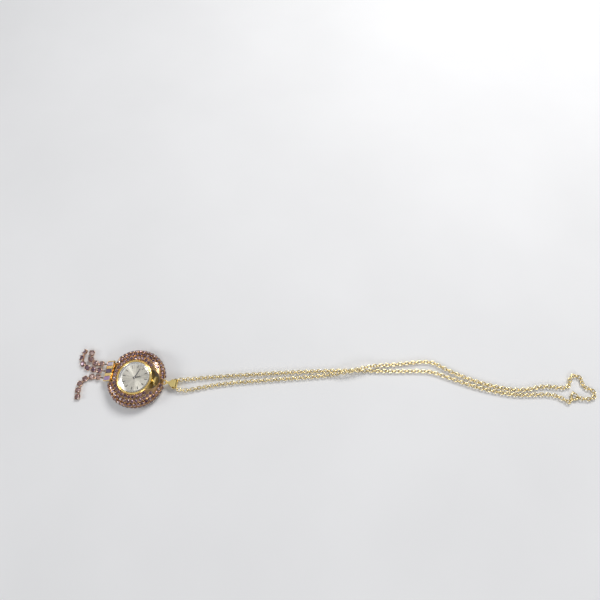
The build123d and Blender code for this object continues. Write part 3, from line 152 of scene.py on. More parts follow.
# Chain: a link's sizes in mm, and the rolls in degrees that the links take in turn
chainLink = {
    "length": 3.5, "width": 2.7, "wire": 0.31, "pitch": 2.2, "rolls": (90, 180), "arcSteps": 8,
    "wireSides": 9}
strandOfChain = {
    "chainUpperStrand": {
        "node": "chain_upper_strand", "length": 0.2605, "clasp": ["clasp_rings"],
        "points": [
            (0.02561, 0.00279, 0.00225), (0.0326, 0.004, 0.00175), (0.042, 0.0064, 0.00137),
            (0.06, 0.0102, 0.00137), (0.09, 0.016, 0.00137), (0.121, 0.0216, 0.00137),
            (0.144, 0.0249, 0.00137), (0.167, 0.0273, 0.00137), (0.1915, 0.031, 0.00137),
            (0.2015, 0.0285, 0.00137), (0.2115, 0.0262, 0.00137), (0.224, 0.0237, 0.00137),
            (0.2365, 0.0224, 0.00137), (0.2485, 0.0222, 0.00137), (0.259, 0.0239, 0.00137),
            (0.269, 0.0255, 0.00137), (0.276, 0.0249, 0.00137), (0.28211, 0.02168, 0.00163)]},
    "chainLowerStrand": {
        "node": "chain_lower_strand", "length": 0.306,
        "clasp": ["clasp_ring", "clasp_trigger", "clasp_spring"],
        "points": [
            (0.02561, -0.00279, 0.00225), (0.0306, -0.0039, 0.0019), (0.0365, -0.0023, 0.0015),
            (0.044, 0.0006, 0.00137),
            (0.06, 0.0054, 0.00137), (0.088, 0.0113, 0.00137), (0.112, 0.0162, 0.00137),
            (0.127, 0.0196, 0.00137), (0.1365, 0.0222, 0.0043), (0.1505, 0.0278, 0.0043),
            (0.1605, 0.0306, 0.00137), (0.1755, 0.0338, 0.00137), (0.1915, 0.0378, 0.00137),
            (0.2015, 0.0336, 0.00137), (0.2115, 0.0303, 0.00137), (0.2245, 0.0272, 0.00137),
            (0.237, 0.0256, 0.00137), (0.2485, 0.0254, 0.00137), (0.257, 0.0272, 0.00137),
            (0.264, 0.0299, 0.00137), (0.271, 0.0309, 0.00137), (0.277, 0.0306, 0.00137),
            (0.2832, 0.032, 0.00137), (0.2836, 0.0402, 0.00137), (0.2912, 0.0404, 0.00137),
            (0.2914, 0.0326, 0.00137), (0.299, 0.0326, 0.00137), (0.2986, 0.0249, 0.00137),
            (0.28893, 0.02549, 0.00163)]}}


def linkStations():
    # Points round the middle of a link's wire, with the direction that points out of the link
    wire = chainLink["wire"]
    bend = chainLink["width"] / 2 - wire
    half = chainLink["length"] / 2 - wire - bend
    stations = []
    for side in (1, -1):
        for step in range(chainLink["arcSteps"] + 1):
            turn = math.pi * (step / chainLink["arcSteps"] - 0.5) + (0 if side == 1 else math.pi)
            out = Vector((math.cos(turn), math.sin(turn), 0))
            stations.append((Vector((side * half, 0, 0)) + out * bend, out))
    return stations


def addLink(shape, place):
    rings = []
    for middle, out in linkStations():
        ring = []
        for side in range(chainLink["wireSides"]):
            turn = 2 * math.pi * side / chainLink["wireSides"]
            skin = out * math.cos(turn) + Vector((0, 0, 1)) * math.sin(turn)
            ring.append((middle + skin * chainLink["wire"]) * mm)
        rings.append(ring)
    addRings(shape, place, rings, loop=True)


def makeChain(name, facts):
    line = splineLine(name + "Line", facts["points"])
    total = lineLength(line)
    count = math.ceil(total / (chainLink["pitch"] * mm))
    count += count % 2  # An even number of links, so the last lies across the first
    joints = [pointAt(line, total * number / count)[0] for number in range(count + 1)]
    shape = bmesh.new()
    for number, (start, end) in enumerate(zip(joints, joints[1:])):
        addLink(shape, seatMatrix((start + end) / 2, end - start, chainLink["rolls"][number % 2]))
    piece = meshPiece(name, shape, smooth=True)
    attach(piece, "chain")
    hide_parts(facts["node"])
    print(name, "length", round(total, 4), "links", count)
    return piece


chainPieces = [makeChain(name, facts) for name, facts in strandOfChain.items()]
print("chain made")

# Faceted stones in mm, from the foot up: the girdle's level and edge, the crown, and the star facets' share
smallStone = {
    "radius": 1.12, "table": 0.6, "foot": 0.08, "girdle": 0.68, "edge": 0.05, "crown": 0.5,
    "star": 0.34, "starDrop": 0.8}
strandStone = {
    "radius": 1.68, "table": 0.92, "foot": 0.14, "girdle": 1.04, "edge": 0.1, "crown": 0.72,
    "star": 0.36, "starDrop": 0.8}


def addStone(shape, place, facts):
    # A round stone: table, eight star facets, eight kites, sixteen upper facets, girdle and pavilion
    girdleLow = facts["girdle"] * mm
    girdleHigh = girdleLow + facts["edge"] * mm
    tableLevel = girdleHigh + facts["crown"] * mm
    starRadius = facts["table"] + (facts["radius"] - facts["table"]) * facts["star"]
    starLevel = girdleHigh + facts["crown"] * mm * (1 - facts["star"] * facts["starDrop"])

    def ring(radius, level, count, turn):
        points = circleRing(radius * mm, level, count, turn)
        return [shape.verts.new(place @ Vector(point)) for point in points]

    table = ring(facts["table"], tableLevel, 8, 0.0)
    star = ring(starRadius, starLevel, 8, math.pi / 8)
    high = ring(facts["radius"], girdleHigh, 16, 0.0)
    low = ring(facts["radius"], girdleLow, 16, 0.0)
    foot = shape.verts.new(place @ Vector((0, 0, facts["foot"] * mm)))
    shape.faces.new(table)
    for number in range(8):
        after, before = (number + 1) % 8, (number - 1) % 8
        shape.faces.new((table[number], star[number], table[after]))
        shape.faces.new((table[number], star[before], high[2 * number], star[number]))
        shape.faces.new((star[number], high[2 * number], high[2 * number + 1]))
        shape.faces.new((star[number], high[2 * number + 1], high[(2 * number + 2) % 16]))
    for number in range(16):
        after = (number + 1) % 16
        shape.faces.new((high[number], low[number], low[after], high[after]))
        shape.faces.new((low[number], foot, low[after]))


# Rows of stones on the frame, and what they leave room for: the crescent gap, the loop and the hanger
stoneRows = {
    "counts": (32, 38, 42), "arcs": (8.6, 34.0, 62.0), "lip": 11.85, "reach": 6.1, "rise": 4.2, "centre": 3.7,
    "rimCount": 44, "rimLevel": 2.95, "cup": 1.22, "lift": 0.02, "gapX": 9.7, "gapRadius": 6.5,
    "loopHalf": 1.25, "hanger": (-17.6, 2.1), "hangerTurn": 182.0, "hangerHalf": 6.6, "hangerOut": 2.912}


def rowSeat(arcDegrees):
    # Radius, level and outward slope of the frame's skin
    arc = math.radians(arcDegrees)
    reach, rise = stoneRows["reach"], stoneRows["rise"]
    slope = math.atan2(math.sin(arc) / reach, math.cos(arc) / rise)
    return stoneRows["lip"] + reach * math.sin(arc), stoneRows["centre"] + rise * math.cos(arc), slope


def stoneIsLeftOut(x, y, kind):
    cup = stoneRows["cup"]
    turn = math.radians(stoneRows["hangerTurn"])
    right, up = x - stoneRows["hanger"][0], y - stoneRows["hanger"][1]
    out = right * math.cos(turn) + up * math.sin(turn)
    across = up * math.cos(turn) - right * math.sin(turn)
    nearGap = math.hypot(x - stoneRows["gapX"], y) < stoneRows["gapRadius"] + cup
    nearHanger = abs(across) < stoneRows["hangerHalf"] + cup and abs(out) < stoneRows["hangerOut"] + cup
    nearLoop = kind == "rim" and x > 0 and abs(y) < cup + stoneRows["loopHalf"]
    return (nearGap and kind == "upper") or nearHanger or nearLoop


def frameSeats(kind):
    rows = [(count, *rowSeat(arc), "upper") for count, arc in zip(stoneRows["counts"], stoneRows["arcs"])]
    rimRadius = stoneRows["lip"] + stoneRows["reach"]
    rows.append((stoneRows["rimCount"], rimRadius, stoneRows["rimLevel"], math.pi / 2, "rim"))
    seats = []
    for number, (count, radius, level, slope, rowKind) in enumerate(rows):
        for place in range(count):
            angle = 2 * math.pi * (place + (0.5 if number % 2 else 0)) / count
            x, y = radius * math.cos(angle), radius * math.sin(angle)
            if rowKind != kind or stoneIsLeftOut(x, y, rowKind):
                continue
            seats.append(
                Matrix.Translation(Vector((x, y, level)) * mm) @ Matrix.Rotation(angle, 4, "Z")
                @ Matrix.Rotation(slope, 4, "Y") @ Matrix.Translation((0, 0, stoneRows["lift"] * mm)))
    return seats


def makeFrameStones(name, kind, node):
    shape = bmesh.new()
    seats = frameSeats(kind)
    for seat in seats:
        addStone(shape, seat, smallStone)
    piece = meshPiece(name, shape)
    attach(piece, "case")
    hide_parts(node)
    print(name, "stones", len(seats))
    return piece


frameStones = [
    makeFrameStones("upperStones", "upper", "upper_stones"),
    makeFrameStones("rimStones", "rim", "rim_stones")]

# Tassel strands of cup chain, in mm and degrees
strandCup = {
    "radius": 1.85, "wall": 0.14, "height": 1.5, "foot": 1.45, "waist": 0.45, "shoulder": 0.7, "floor": 0.6,
    "claws": 4, "claw": 0.25, "clawTop": 2.02, "clawTurn": 45, "clawSides": 10, "pitch": 4.35, "first": 6.0,
    "barWidth": 0.9, "barThickness": 0.5, "barCorner": 0.4, "barDrop": 0.4, "sink": 1.15, "sides": 28,
    "sharp": 38}
tasselStrands = {
    "tasselStrandLeft": {
        "node": "tassel_strand_left", "rolls": (0, 0),
        "points": [
            (-0.02095, -0.0026, 0.00405), (-0.0239, -0.0024, 0.0024), (-0.027, -0.002, 0.00136),
            (-0.0312, -0.0024, 0.00125), (-0.0354, -0.0043, 0.00125), (-0.0375, -0.0084, 0.00125),
            (-0.0369, -0.0132, 0.00125), (-0.0352, -0.0195, 0.00125)]},
    "tasselStrandMiddle": {
        "node": "tassel_strand_middle", "rolls": (0, 38),
        "points": [
            (-0.02095, 0.0021, 0.00405), (-0.0238, 0.0022, 0.0027), (-0.0272, 0.0023, 0.0016),
            (-0.0314, 0.0025, 0.0016), (-0.0359, 0.0031, 0.00175), (-0.0396, 0.0056, 0.00195),
            (-0.041, 0.0096, 0.00215), (-0.0398, 0.0139, 0.00225), (-0.0386, 0.0166, 0.00225)]},
    "tasselStrandRight": {
        "node": "tassel_strand_right", "rolls": (0, -20),
        "points": [
            (-0.02095, 0.0068, 0.00405), (-0.0238, 0.0069, 0.0027), (-0.0268, 0.0069, 0.0015),
            (-0.031, 0.0067, 0.00145), (-0.0344, 0.0083, 0.00165), (-0.0352, 0.0116, 0.00185),
            (-0.035, 0.0156, 0.00195)]}}


def addCup(shape, place):
    # A thin cup with four round-headed claws
    radius, wall, height = strandCup["radius"], strandCup["wall"], strandCup["height"]
    soft = wall / 2
    addTurned(shape, place, [
        (strandCup["foot"] - soft, 0), (strandCup["foot"], soft / 2),
        (radius - soft, height * strandCup["waist"]), (radius, height * strandCup["shoulder"]),
        (radius, height - soft), (radius - soft, height), (radius - wall, height - soft),
        (radius - wall, height * strandCup["floor"]), (strandCup["foot"] - wall, wall)], strandCup["sides"])
    claw, top = strandCup["claw"], strandCup["clawTop"]
    out = radius - wall + claw
    # Each ring of a claw: its level in mm, then its radius and shift outwards as shares of the claw's radius
    clawRings = [
        (0.25, 0.5, -0.5), (0.6, 0.8, -0.1), (top * 0.7, 1.0, 0.0), (top * 0.9, 1.0, -0.2),
        (top, 0.95, -0.5), (top + claw * 0.6, 0.75, -0.8), (top + claw * 0.95, 0.3, -0.95)]
    for number in range(strandCup["claws"]):
        turn = math.radians(strandCup["clawTurn"] + 360 / strandCup["claws"] * number)
        lean = place @ Matrix.Translation(
            (out * mm * math.cos(turn), out * mm * math.sin(turn), 0)) @ Matrix.Rotation(turn, 4, "Z")
        rings = []
        for level, size, shift in clawRings:
            ring = circleRing(claw * size * mm, level * mm, strandCup["clawSides"])
            rings.append([(x + shift * claw * mm, y, z) for x, y, z in ring])
        addRings(shape, lean, rings)


def addBar(shape, place, length):
    # The bar between two cups, a little narrower at its ends
    rings = []
    for along, share in ((-0.5, 0.8), (-0.3, 1.0), (0.3, 1.0), (0.5, 0.8)):
        half, deep = strandCup["barWidth"] * share / 2, strandCup["barThickness"] / 2
        corner = deep * strandCup["barCorner"]
        outline = [
            (half - corner, deep), (half, deep - corner), (half, corner - deep), (half - corner, -deep),
            (corner - half, -deep), (-half, corner - deep), (-half, deep - corner), (corner - half, deep)]
        rings.append([(along * length, y * mm, z * mm) for y, z in outline])
    addRings(shape, place, rings)


def strandSeats(facts):
    # The strand's start on the hanger and then each cup, as point, direction and roll
    line = splineLine(facts["node"] + "Line", facts["points"])
    total = lineLength(line)
    places = [0.0]
    reach = strandCup["first"] * mm
    while reach + strandCup["radius"] * mm < total:
        places.append(reach)
        reach += strandCup["pitch"] * mm
    first, last = facts["rolls"]
    seats = []
    for number, place in enumerate(places):
        roll = first + (last - first) * number / (len(places) - 1)
        point, along = pointAt(line, place)
        seats.append((point, along, roll))
    return seats


def makeStrand(name, facts):
    seats = strandSeats(facts)
    cups, stones = bmesh.new(), bmesh.new()
    sink = Matrix.Translation((0, 0, -strandCup["sink"] * mm))
    cupEdge = (strandCup["radius"] - strandCup["wall"]) * mm
    for number in range(1, len(seats)):
        before, (point, along, roll) = seats[number - 1], seats[number]
        place = seatMatrix(point, along, roll) @ sink
        addCup(cups, place)
        addStone(stones, place, strandStone)
        run = point - before[0]
        start = before[0] + run.normalized() * (cupEdge if number > 1 else 0.0)
        end = point - run.normalized() * cupEdge
        barPlace = seatMatrix((start + end) / 2, run, roll) @ Matrix.Translation(
            (0, 0, -strandCup["barDrop"] * mm))
        addBar(cups, barPlace, (end - start).length)
    cupPiece = meshPiece(name + "Cups", cups, smooth=True)
    cupPiece.data.set_sharp_from_angle(angle=math.radians(strandCup["sharp"]))
    stonePiece = meshPiece(name + "Stones", stones)
    for piece in (cupPiece, stonePiece):
        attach(piece, "case")
        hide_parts(facts["node"])
    print(name, "cups", len(seats) - 1)
    return cupPiece, stonePiece


tasselPieces = {name: makeStrand(name, facts) for name, facts in tasselStrands.items()}
print("tassel made")


# Material helpers
class Finish:
    # A node material that is built up from the left towards its shader
    def __init__(self, name):
        self.material = bpy.data.materials.new(name)
        self.material.use_nodes = True
        self.tree = self.material.node_tree
        self.shader = self.tree.nodes["Principled BSDF"]
        self.output = self.tree.nodes["Material Output"]

    def node(self, kind, values=None, **settings):
        made = self.tree.nodes.new(kind)
        for name, value in settings.items():
            setattr(made, name, value)
        for socket, value in (values or {}).items():
            if isinstance(value, bpy.types.NodeSocket):
                self.tree.links.new(value, made.inputs[socket])
            else:
                made.inputs[socket].default_value = value
        return made

    def place(self):
        return self.node("ShaderNodeTexCoord").outputs["Object"]

    def noise(self, scale, detail, vector=None, distortion=0.0):
        made = self.node("ShaderNodeTexNoise", {"Vector": vector or self.place(), "Scale": scale,
                                                "Detail": detail, "Distortion": distortion})
        return made.outputs["Fac"]

    def ramp(self, value, stops):
        made = self.node("ShaderNodeValToRGB", {"Fac": value})
        elements = made.color_ramp.elements
        while len(elements) < len(stops):
            elements.new(0.5)
        for element, (position, colour) in zip(elements, stops):
            element.position = position
            element.color = (*colour, 1.0)
        return made.outputs["Color"]

    def spread(self, value, low, high, start=0.0, end=1.0):
        made = self.node("ShaderNodeMapRange", {
            "Value": value, "From Min": start, "From Max": end, "To Min": low, "To Max": high})
        return made.outputs["Result"]

    def mixed(self, share, first, second, blend="MIX"):
        # Both colours are sockets or plain values, and so is the share of the second
        made = self.node("ShaderNodeMix", {"Factor": share, 6: first, 7: second},
                         data_type="RGBA", blend_type=blend)
        return made.outputs[2]

    def bump(self, height, distance, strength):
        made = self.node("ShaderNodeBump", {"Height": height, "Distance": distance, "Strength": strength})
        return made.outputs["Normal"]

    def drive(self, **sockets):
        for name, value in sockets.items():
            socket = self.shader.inputs[name.replace("_", " ")]
            if isinstance(value, bpy.types.NodeSocket):
                self.tree.links.new(value, socket)
            else:
                socket.default_value = value


# Metals: tone, the deeper tone of tarnish, roughness from and to, and the fineness of the grain
metalFinishes = {
    "gold": {
        "tone": (1.00, 0.74, 0.30), "deep": (0.88, 0.58, 0.19), "rough": (0.10, 0.20), "grain": 900.0},
    "paleGold": {
        "tone": (0.84, 0.70, 0.38), "deep": (0.48, 0.36, 0.15), "rough": (0.14, 0.26), "grain": 1200.0},
    # The stone frame's gold, made dark brown: painted shade under and between the stones
    "paintedShadeSetting": {
        "tone": (0.50, 0.32, 0.16), "deep": (0.20, 0.11, 0.05), "rough": (0.18, 0.32), "grain": 900.0},
    "claws": {
        "tone": (0.86, 0.66, 0.44), "deep": (0.50, 0.33, 0.20), "rough": (0.12, 0.24), "grain": 1100.0},
    "strandMetal": {
        "tone": (0.74, 0.53, 0.40), "deep": (0.40, 0.25, 0.18), "rough": (0.14, 0.26), "grain": 1100.0},
    "brass": {
        "tone": (0.86, 0.68, 0.36), "deep": (0.66, 0.48, 0.22), "rough": (0.22, 0.38), "grain": 700.0},
    "steel": {
        "tone": (0.72, 0.73, 0.75), "deep": (0.50, 0.51, 0.53), "rough": (0.18, 0.34), "grain": 800.0},
    "blueSteel": {
        "tone": (0.10, 0.16, 0.42), "deep": (0.05, 0.08, 0.24), "rough": (0.16, 0.30), "grain": 800.0},
    "hands": {
        "tone": (0.16, 0.15, 0.15), "deep": (0.07, 0.07, 0.08), "rough": (0.20, 0.34), "grain": 900.0},
    "flange": {
        "tone": (0.94, 0.92, 0.86), "deep": (0.84, 0.81, 0.74), "rough": (0.16, 0.28), "grain": 900.0},
    "holder": {
        "tone": (0.62, 0.60, 0.58), "deep": (0.44, 0.42, 0.40), "rough": (0.35, 0.5), "grain": 500.0}}
metalWear = {
    "tarnish": (260.0, 5.0), "tarnishFrom": 0.3, "tarnishTo": 0.62, "rub": 0.55, "edgeFrom": 0.5,
    "edgeTo": 0.56, "brighter": (1.12, 0.03), "grainDetail": 4.0, "grainTwist": 0.4,
    "grainDepth": 0.00001, "grainStrength": 0.35}


def metal(name):
    facts = metalFinishes[name]
    made = Finish(name)
    tarnish = made.noise(*metalWear["tarnish"])
    colour = made.ramp(
        tarnish, [(metalWear["tarnishFrom"], facts["deep"]), (metalWear["tarnishTo"], facts["tone"])])
    # Handled edges are rubbed brighter
    edge = made.node("ShaderNodeNewGeometry").outputs["Pointiness"]
    rub = made.spread(edge, 0.0, metalWear["rub"], metalWear["edgeFrom"], metalWear["edgeTo"])
    gain, lift = metalWear["brighter"]
    bright = (*[min(1.0, channel * gain + lift) for channel in facts["tone"]], 1.0)
    worn = made.mixed(rub, colour, bright)
    grain = made.noise(facts["grain"], metalWear["grainDetail"], distortion=metalWear["grainTwist"])
    rough = made.spread(grain, *facts["rough"])
    made.drive(Base_Color=worn, Metallic=1.0, Roughness=rough,
               Normal=made.bump(grain, metalWear["grainDepth"], metalWear["grainStrength"]))
    return made.material


# Stones: each material's colours from painted shade through the stone's own colour to a near-white painted
# glint, and the look that all of them share
stoneShadeToGlint = {
    "frameStone": [
        (0.0, (0.012, 0.004, 0.010)), (0.34, (0.075, 0.026, 0.052)), (0.56, (0.20, 0.095, 0.125)),
        (0.78, (0.50, 0.33, 0.33)), (1.0, (0.97, 0.86, 0.78))],
    "strandStone": [
        (0.0, (0.04, 0.02, 0.025)), (0.3, (0.16, 0.08, 0.09)), (0.54, (0.36, 0.22, 0.21)),
        (0.76, (0.68, 0.52, 0.47)), (1.0, (0.97, 0.91, 0.84))],
    # The middle strand's stones: a darker copy of the strand stones, painted shade
    "paintedShadeStrandStone": [
        (0.0, (0.02, 0.008, 0.02)), (0.34, (0.09, 0.04, 0.07)), (0.58, (0.22, 0.12, 0.17)),
        (0.82, (0.50, 0.37, 0.42)), (1.0, (0.90, 0.80, 0.80))]}
stoneCut = {
    "facetScale": (3.1, 3.7, 2.9), "stoneShift": 37.0, "facetNoise": (1.0, 2.0), "depthFrom": 0.28,
    "depthTo": 0.72, "cloud": (900.0, 2.0), "rough": (0.03, 0.10), "foil": 0.45, "ior": 1.6, "coat": 0.6,
    "coatRough": 0.03}


def gem(name):
    # Each facet gets its own painted light by the way it faces, from painted shade to painted glint, and each
    # stone its own set of them
    made = Finish(name)
    geometry = made.node("ShaderNodeNewGeometry")
    facing = made.node(
        "ShaderNodeVectorMath", {0: geometry.outputs["True Normal"], 1: stoneCut["facetScale"]},
        operation="MULTIPLY")
    random = made.spread(geometry.outputs["Random Per Island"], 0.0, stoneCut["stoneShift"])
    shift = made.node("ShaderNodeCombineXYZ", {"X": random, "Y": random, "Z": random})
    shifted = made.node("ShaderNodeVectorMath", {0: facing.outputs[0], 1: shift.outputs[0]}, operation="ADD")
    # Painted light per facet: a noise over the facet's facing picks how dark or bright it is painted
    facetLightNoise = made.noise(*stoneCut["facetNoise"], shifted.outputs[0])
    depth = made.spread(facetLightNoise, 0.0, 1.0, stoneCut["depthFrom"], stoneCut["depthTo"])
    cloud = made.noise(*stoneCut["cloud"])
    made.drive(Base_Color=made.ramp(depth, stoneShadeToGlint[name]), Metallic=stoneCut["foil"],
               Roughness=made.spread(cloud, *stoneCut["rough"]), IOR=stoneCut["ior"],
               Coat_Weight=stoneCut["coat"], Coat_Roughness=stoneCut["coatRough"])
    return made.material


# Long stones of the hanger, told apart by where they lie: lilac in their own colour, dark with painted shade,
# pale with a painted highlight
longStoneLitAndShaded = {
    "from": -0.0051, "to": 0.0093,
    "tones": [
        (0.0, (0.50, 0.30, 0.58)), (0.32, (0.55, 0.34, 0.62)), (0.345, (0.07, 0.02, 0.12)),
        (0.655, (0.12, 0.04, 0.18)), (0.68, (0.80, 0.70, 0.82)), (1.0, (0.86, 0.78, 0.88))],
    "facetLightNoise": (2.6, 2.0), "depth": [(0.3, (0.45, 0.42, 0.50)), (0.7, (1.0, 1.0, 1.0))],
    "cloud": (500.0, 3.0), "rough": (0.04, 0.12), "foil": 0.35, "coat": 0.7, "coatRough": 0.03,
    "bump": (0.00002, 0.2)}


def longStones():
    facts = longStoneLitAndShaded
    made = Finish("longStones")
    split = made.node("ShaderNodeSeparateXYZ", {0: made.place()})
    across = made.spread(split.outputs["Y"], 0.0, 1.0, facts["from"], facts["to"])
    # Painted light across the hanger: the middle stone painted in shade, the pale outer one painted with a
    # highlight
    tone = made.ramp(across, facts["tones"])
    geometry = made.node("ShaderNodeNewGeometry")
    # Painted facet shade: each facet darkened by the way it faces
    facetLightNoise = made.noise(*facts["facetLightNoise"], geometry.outputs["True Normal"])
    colour = made.mixed(1.0, tone, made.ramp(facetLightNoise, facts["depth"]), "MULTIPLY")
    cloud = made.noise(*facts["cloud"])
    made.drive(Base_Color=colour, Metallic=facts["foil"], Roughness=made.spread(cloud, *facts["rough"]),
               Coat_Weight=facts["coat"], Coat_Roughness=facts["coatRough"],
               Normal=made.bump(cloud, *facts["bump"]))
    return made.material


# Dial: a silvered sunburst, and dark markers told apart by their height
dialFinish = {
    "markerLevel": 0.006812, "rays": (46.0, 6.0), "silver": (0.80, 0.77, 0.69), "shade": (0.34, 0.32, 0.27),
    "shadeFrom": 0.35, "silverFrom": 0.65, "marker": (0.02, 0.018, 0.018, 1.0), "metal": 0.75,
    "rough": (0.24, 0.40), "brushed": 0.8, "bump": (0.00001, 0.3)}


def dialMaterial():
    facts = dialFinish
    made = Finish("dial")
    split = made.node("ShaderNodeSeparateXYZ", {0: made.place()})
    flat = made.node("ShaderNodeCombineXYZ", {"X": split.outputs["X"], "Y": split.outputs["Y"]})
    out = made.node("ShaderNodeVectorMath", {0: flat.outputs[0]}, operation="NORMALIZE")
    rays = made.noise(*facts["rays"], out.outputs[0])
    silver = made.ramp(rays, [(facts["shadeFrom"], facts["shade"]), (facts["silverFrom"], facts["silver"])])
    marker = made.node("ShaderNodeMath", {0: split.outputs["Z"], 1: facts["markerLevel"]},
                       operation="GREATER_THAN").outputs[0]
    tangent = made.node("ShaderNodeTangent", direction_type="RADIAL", axis="Z")
    made.drive(Base_Color=made.mixed(marker, silver, facts["marker"]),
               Metallic=made.spread(marker, facts["metal"], 0.0),
               Roughness=made.spread(rays, *facts["rough"]), Anisotropic=facts["brushed"],
               Tangent=tangent.outputs[0], Normal=made.bump(rays, *facts["bump"]))
    return made.material


# Crystal: clear glass that lets the lamps through to the dial
crystalFinish = {"wipe": (120.0, 3.0), "rough": (0.0, 0.02), "ior": 1.45, "shadow": (0.97, 0.97, 0.97, 1.0)}


def crystalMaterial():
    facts = crystalFinish
    made = Finish("crystal")
    wipe = made.noise(*facts["wipe"])
    made.drive(Base_Color=(1.0, 1.0, 1.0, 1.0), Transmission_Weight=1.0, IOR=facts["ior"],
               Roughness=made.spread(wipe, *facts["rough"]))
    clear = made.node("ShaderNodeBsdfTransparent", {"Color": facts["shadow"]})
    path = made.node("ShaderNodeLightPath")
    mixed = made.node("ShaderNodeMixShader", {
        0: path.outputs["Is Shadow Ray"], 1: made.shader.outputs[0], 2: clear.outputs[0]})
    made.tree.links.new(mixed.outputs[0], made.output.inputs["Surface"])
    return made.material


# Jewels of the movement
rubyFinish = {
    "cloud": (700.0, 3.0), "tones": [(0.3, (0.42, 0.01, 0.05)), (0.7, (0.72, 0.04, 0.14))],
    "rough": (0.05, 0.14), "coat": 0.5, "ior": 1.76}


def rubyMaterial():
    facts = rubyFinish
    made = Finish("ruby")
    cloud = made.noise(*facts["cloud"])
    made.drive(Base_Color=made.ramp(cloud, facts["tones"]), Roughness=made.spread(cloud, *facts["rough"]),
               Coat_Weight=facts["coat"], IOR=facts["ior"])
    return made.material


finishes = {name: metal(name) for name in metalFinishes}
finishes.update({name: gem(name) for name in stoneShadeToGlint})
finishes.update({
    "longStones": longStones(), "dial": dialMaterial(), "crystal": crystalMaterial(), "ruby": rubyMaterial()})
# The nodes of the solids that wear each finish
finishOfNode = {
    "gold": [
        "bezel", "case_band", "case_back", "crown", "crown_tube", "pendant_loop", "tassel_hanger", "bail"],
    "paintedShadeSetting": ["stone_frame"],
    "claws": ["stone_claws"],
    "paleGold": ["chain_bail_links", "clasp_ring", "clasp_rings", "clasp_trigger"],
    "steel": [
        "clasp_spring", "winding_stem", "winding_pinion", "sliding_pinion", "setting_lever", "yoke",
        "setting_wheel", "minute_wheel", "cannon_pinion", "click", "pallet_fork", "escape_wheel",
        "barrel_arbor", "ratchet_wheel", "crown_wheel", "regulator"],
    "blueSteel": ["hairspring", "mainspring", "click_spring", "movement_screws"],
    "brass": [
        "mainplate", "barrel_bridge", "train_bridge", "pallet_bridge", "balance_cock", "centre_wheel",
        "third_wheel", "fourth_wheel", "balance_wheel", "barrel_drum", "hour_wheel"],
    "hands": ["hour_hand", "minute_hand"],
    "flange": ["rehaut"],
    "holder": ["movement_ring"],
    "longStones": ["hanger_stones"],
    "dial": ["dial"],
    "crystal": ["crystal"],
    "ruby": ["jewels"]}


def dress(piece, material):
    if not piece.data.materials:
        piece.data.materials.append(material)
    for slot in piece.material_slots:
        slot.material = material


for finish, names in finishOfNode.items():
    for name in names:
        dress(nodes[name], finishes[finish])
for piece in chainPieces:
    dress(piece, finishes["paleGold"])
for piece in frameStones:
    dress(piece, finishes["frameStone"])
for name, (cups, stones) in tasselPieces.items():
    dress(cups, finishes["strandMetal"])
    # The middle strand wears the painted-shade copy of the strand stones
    dress(stones, finishes["paintedShadeStrandStone" if name == "tasselStrandMiddle" else "strandStone"])
print("finishes given")

# Floor, lamps and surroundings
floorFinish = {
    "size": 3.0, "cloud": (9.0, 4.0), "tones": [(0.3, (0.82, 0.815, 0.81)), (0.7, (0.86, 0.855, 0.85))],
    "fine": (900.0, 3.0), "rough": (0.6, 0.75), "shine": 0.15, "bump": (0.00002, 0.1)}
lamps = {
    "keyLamp": {"place": (0.34, 0.62, 0.68), "aim": (0.1, 0.0, 0.0), "size": 0.36, "power": 5.6},
    "sideLamp": {"place": (-0.75, -0.25, 0.45), "aim": (0.05, 0.0, 0.0), "size": 0.3, "power": 2.2},
    "frontLamp": {"place": (0.45, -0.65, 0.5), "aim": (0.1, 0.0, 0.0), "size": 0.3, "power": 1.6}}
# Strengths: what lights the object, what polished metal sees, and what the camera sees behind it all
roomLight = {
    "soft": 0.3, "softTone": (0.90, 0.93, 1.0, 1.0), "seen": 0.8, "backdrop": 0.85,
    "backdropTone": (0.90, 0.91, 0.93, 1.0),
    "walls": [(0.0, 0.06), (0.3, 0.14), (0.55, 0.4), (0.75, 0.9), (0.92, 0.75), (1.0, 0.6)]}


def makeFloor():
    shape = bmesh.new()
    half = floorFinish["size"] / 2
    corners = [(-half, -half), (half, -half), (half, half), (-half, half)]
    shape.faces.new([shape.verts.new((x, y, 0)) for x, y in corners])
    floor = meshPiece("floor", shape)
    made = Finish("table")
    cloud = made.noise(*floorFinish["cloud"])
    fine = made.noise(*floorFinish["fine"])
    made.drive(Base_Color=made.ramp(cloud, floorFinish["tones"]),
               Roughness=made.spread(fine, *floorFinish["rough"]), Specular_IOR_Level=floorFinish["shine"],
               Normal=made.bump(fine, *floorFinish["bump"]))
    dress(floor, made.material)


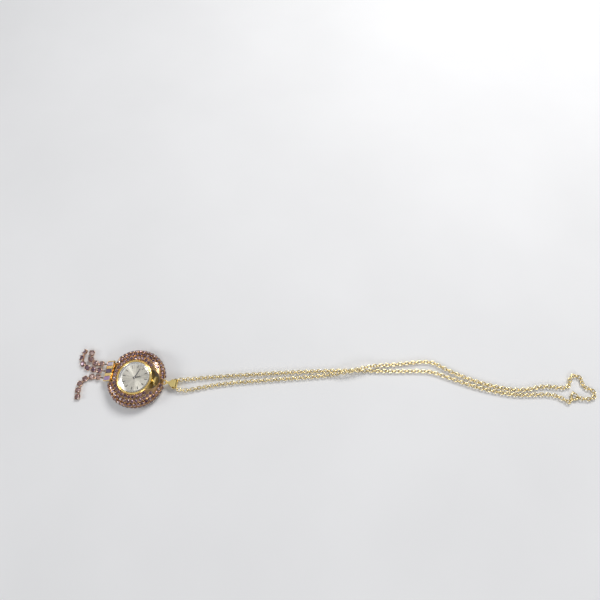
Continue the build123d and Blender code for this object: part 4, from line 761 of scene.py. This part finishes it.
def makeLamps():
    for name, facts in lamps.items():
        data = bpy.data.lights.new(name, "AREA")
        data.shape = "SQUARE"
        data.size = facts["size"]
        data.energy = facts["power"]
        lamp = bpy.data.objects.new(name, data)
        lamp.location = facts["place"]
        look = Vector(facts["aim"]) - Vector(facts["place"])
        lamp.rotation_euler = look.to_track_quat("-Z", "Y").to_euler()
        bpy.context.collection.objects.link(lamp)


def setShade(background, strength, tone=None):
    background.inputs["Strength"].default_value = strength
    if tone:
        background.inputs["Color"].default_value = tone
    return background.outputs[0]


def shadeByRay(tree, ray, others, chosen):
    # The chosen shade for rays of one kind, and the other one for the rest
    made = tree.nodes.new("ShaderNodeMixShader")
    for socket, value in enumerate((ray, others, chosen)):
        tree.links.new(value, made.inputs[socket])
    return made.outputs[0]


def makeSurroundings():
    # Plain soft light on the object; polished metal and glass also see a pale room with darker walls
    world = bpy.data.worlds.new("room")
    world.use_nodes = True
    bpy.context.scene.world = world
    tree = world.node_tree
    place = tree.nodes.new("ShaderNodeTexCoord")
    split = tree.nodes.new("ShaderNodeSeparateXYZ")
    tree.links.new(place.outputs["Generated"], split.inputs[0])
    walls = tree.nodes.new("ShaderNodeValToRGB")
    elements = walls.color_ramp.elements
    while len(elements) < len(roomLight["walls"]):
        elements.new(0.5)
    for element, (height, level) in zip(elements, roomLight["walls"]):
        element.position = height
        element.color = (level, level, level, 1.0)
    tree.links.new(split.outputs["Z"], walls.inputs["Fac"])
    soft = setShade(tree.nodes["Background"], roomLight["soft"], roomLight["softTone"])
    seen = setShade(tree.nodes.new("ShaderNodeBackground"), roomLight["seen"])
    tree.links.new(walls.outputs["Color"], seen.node.inputs["Color"])
    backdrop = setShade(
        tree.nodes.new("ShaderNodeBackground"), roomLight["backdrop"], roomLight["backdropTone"])
    path = tree.nodes.new("ShaderNodeLightPath")
    room = shadeByRay(tree, path.outputs["Is Glossy Ray"], soft, seen)
    room = shadeByRay(tree, path.outputs["Is Camera Ray"], room, backdrop)
    tree.links.new(room, tree.nodes["World Output"].inputs["Surface"])


makeFloor()
makeLamps()
makeSurroundings()
print("floor and lamps made")

bpy.context.view_layer.update()
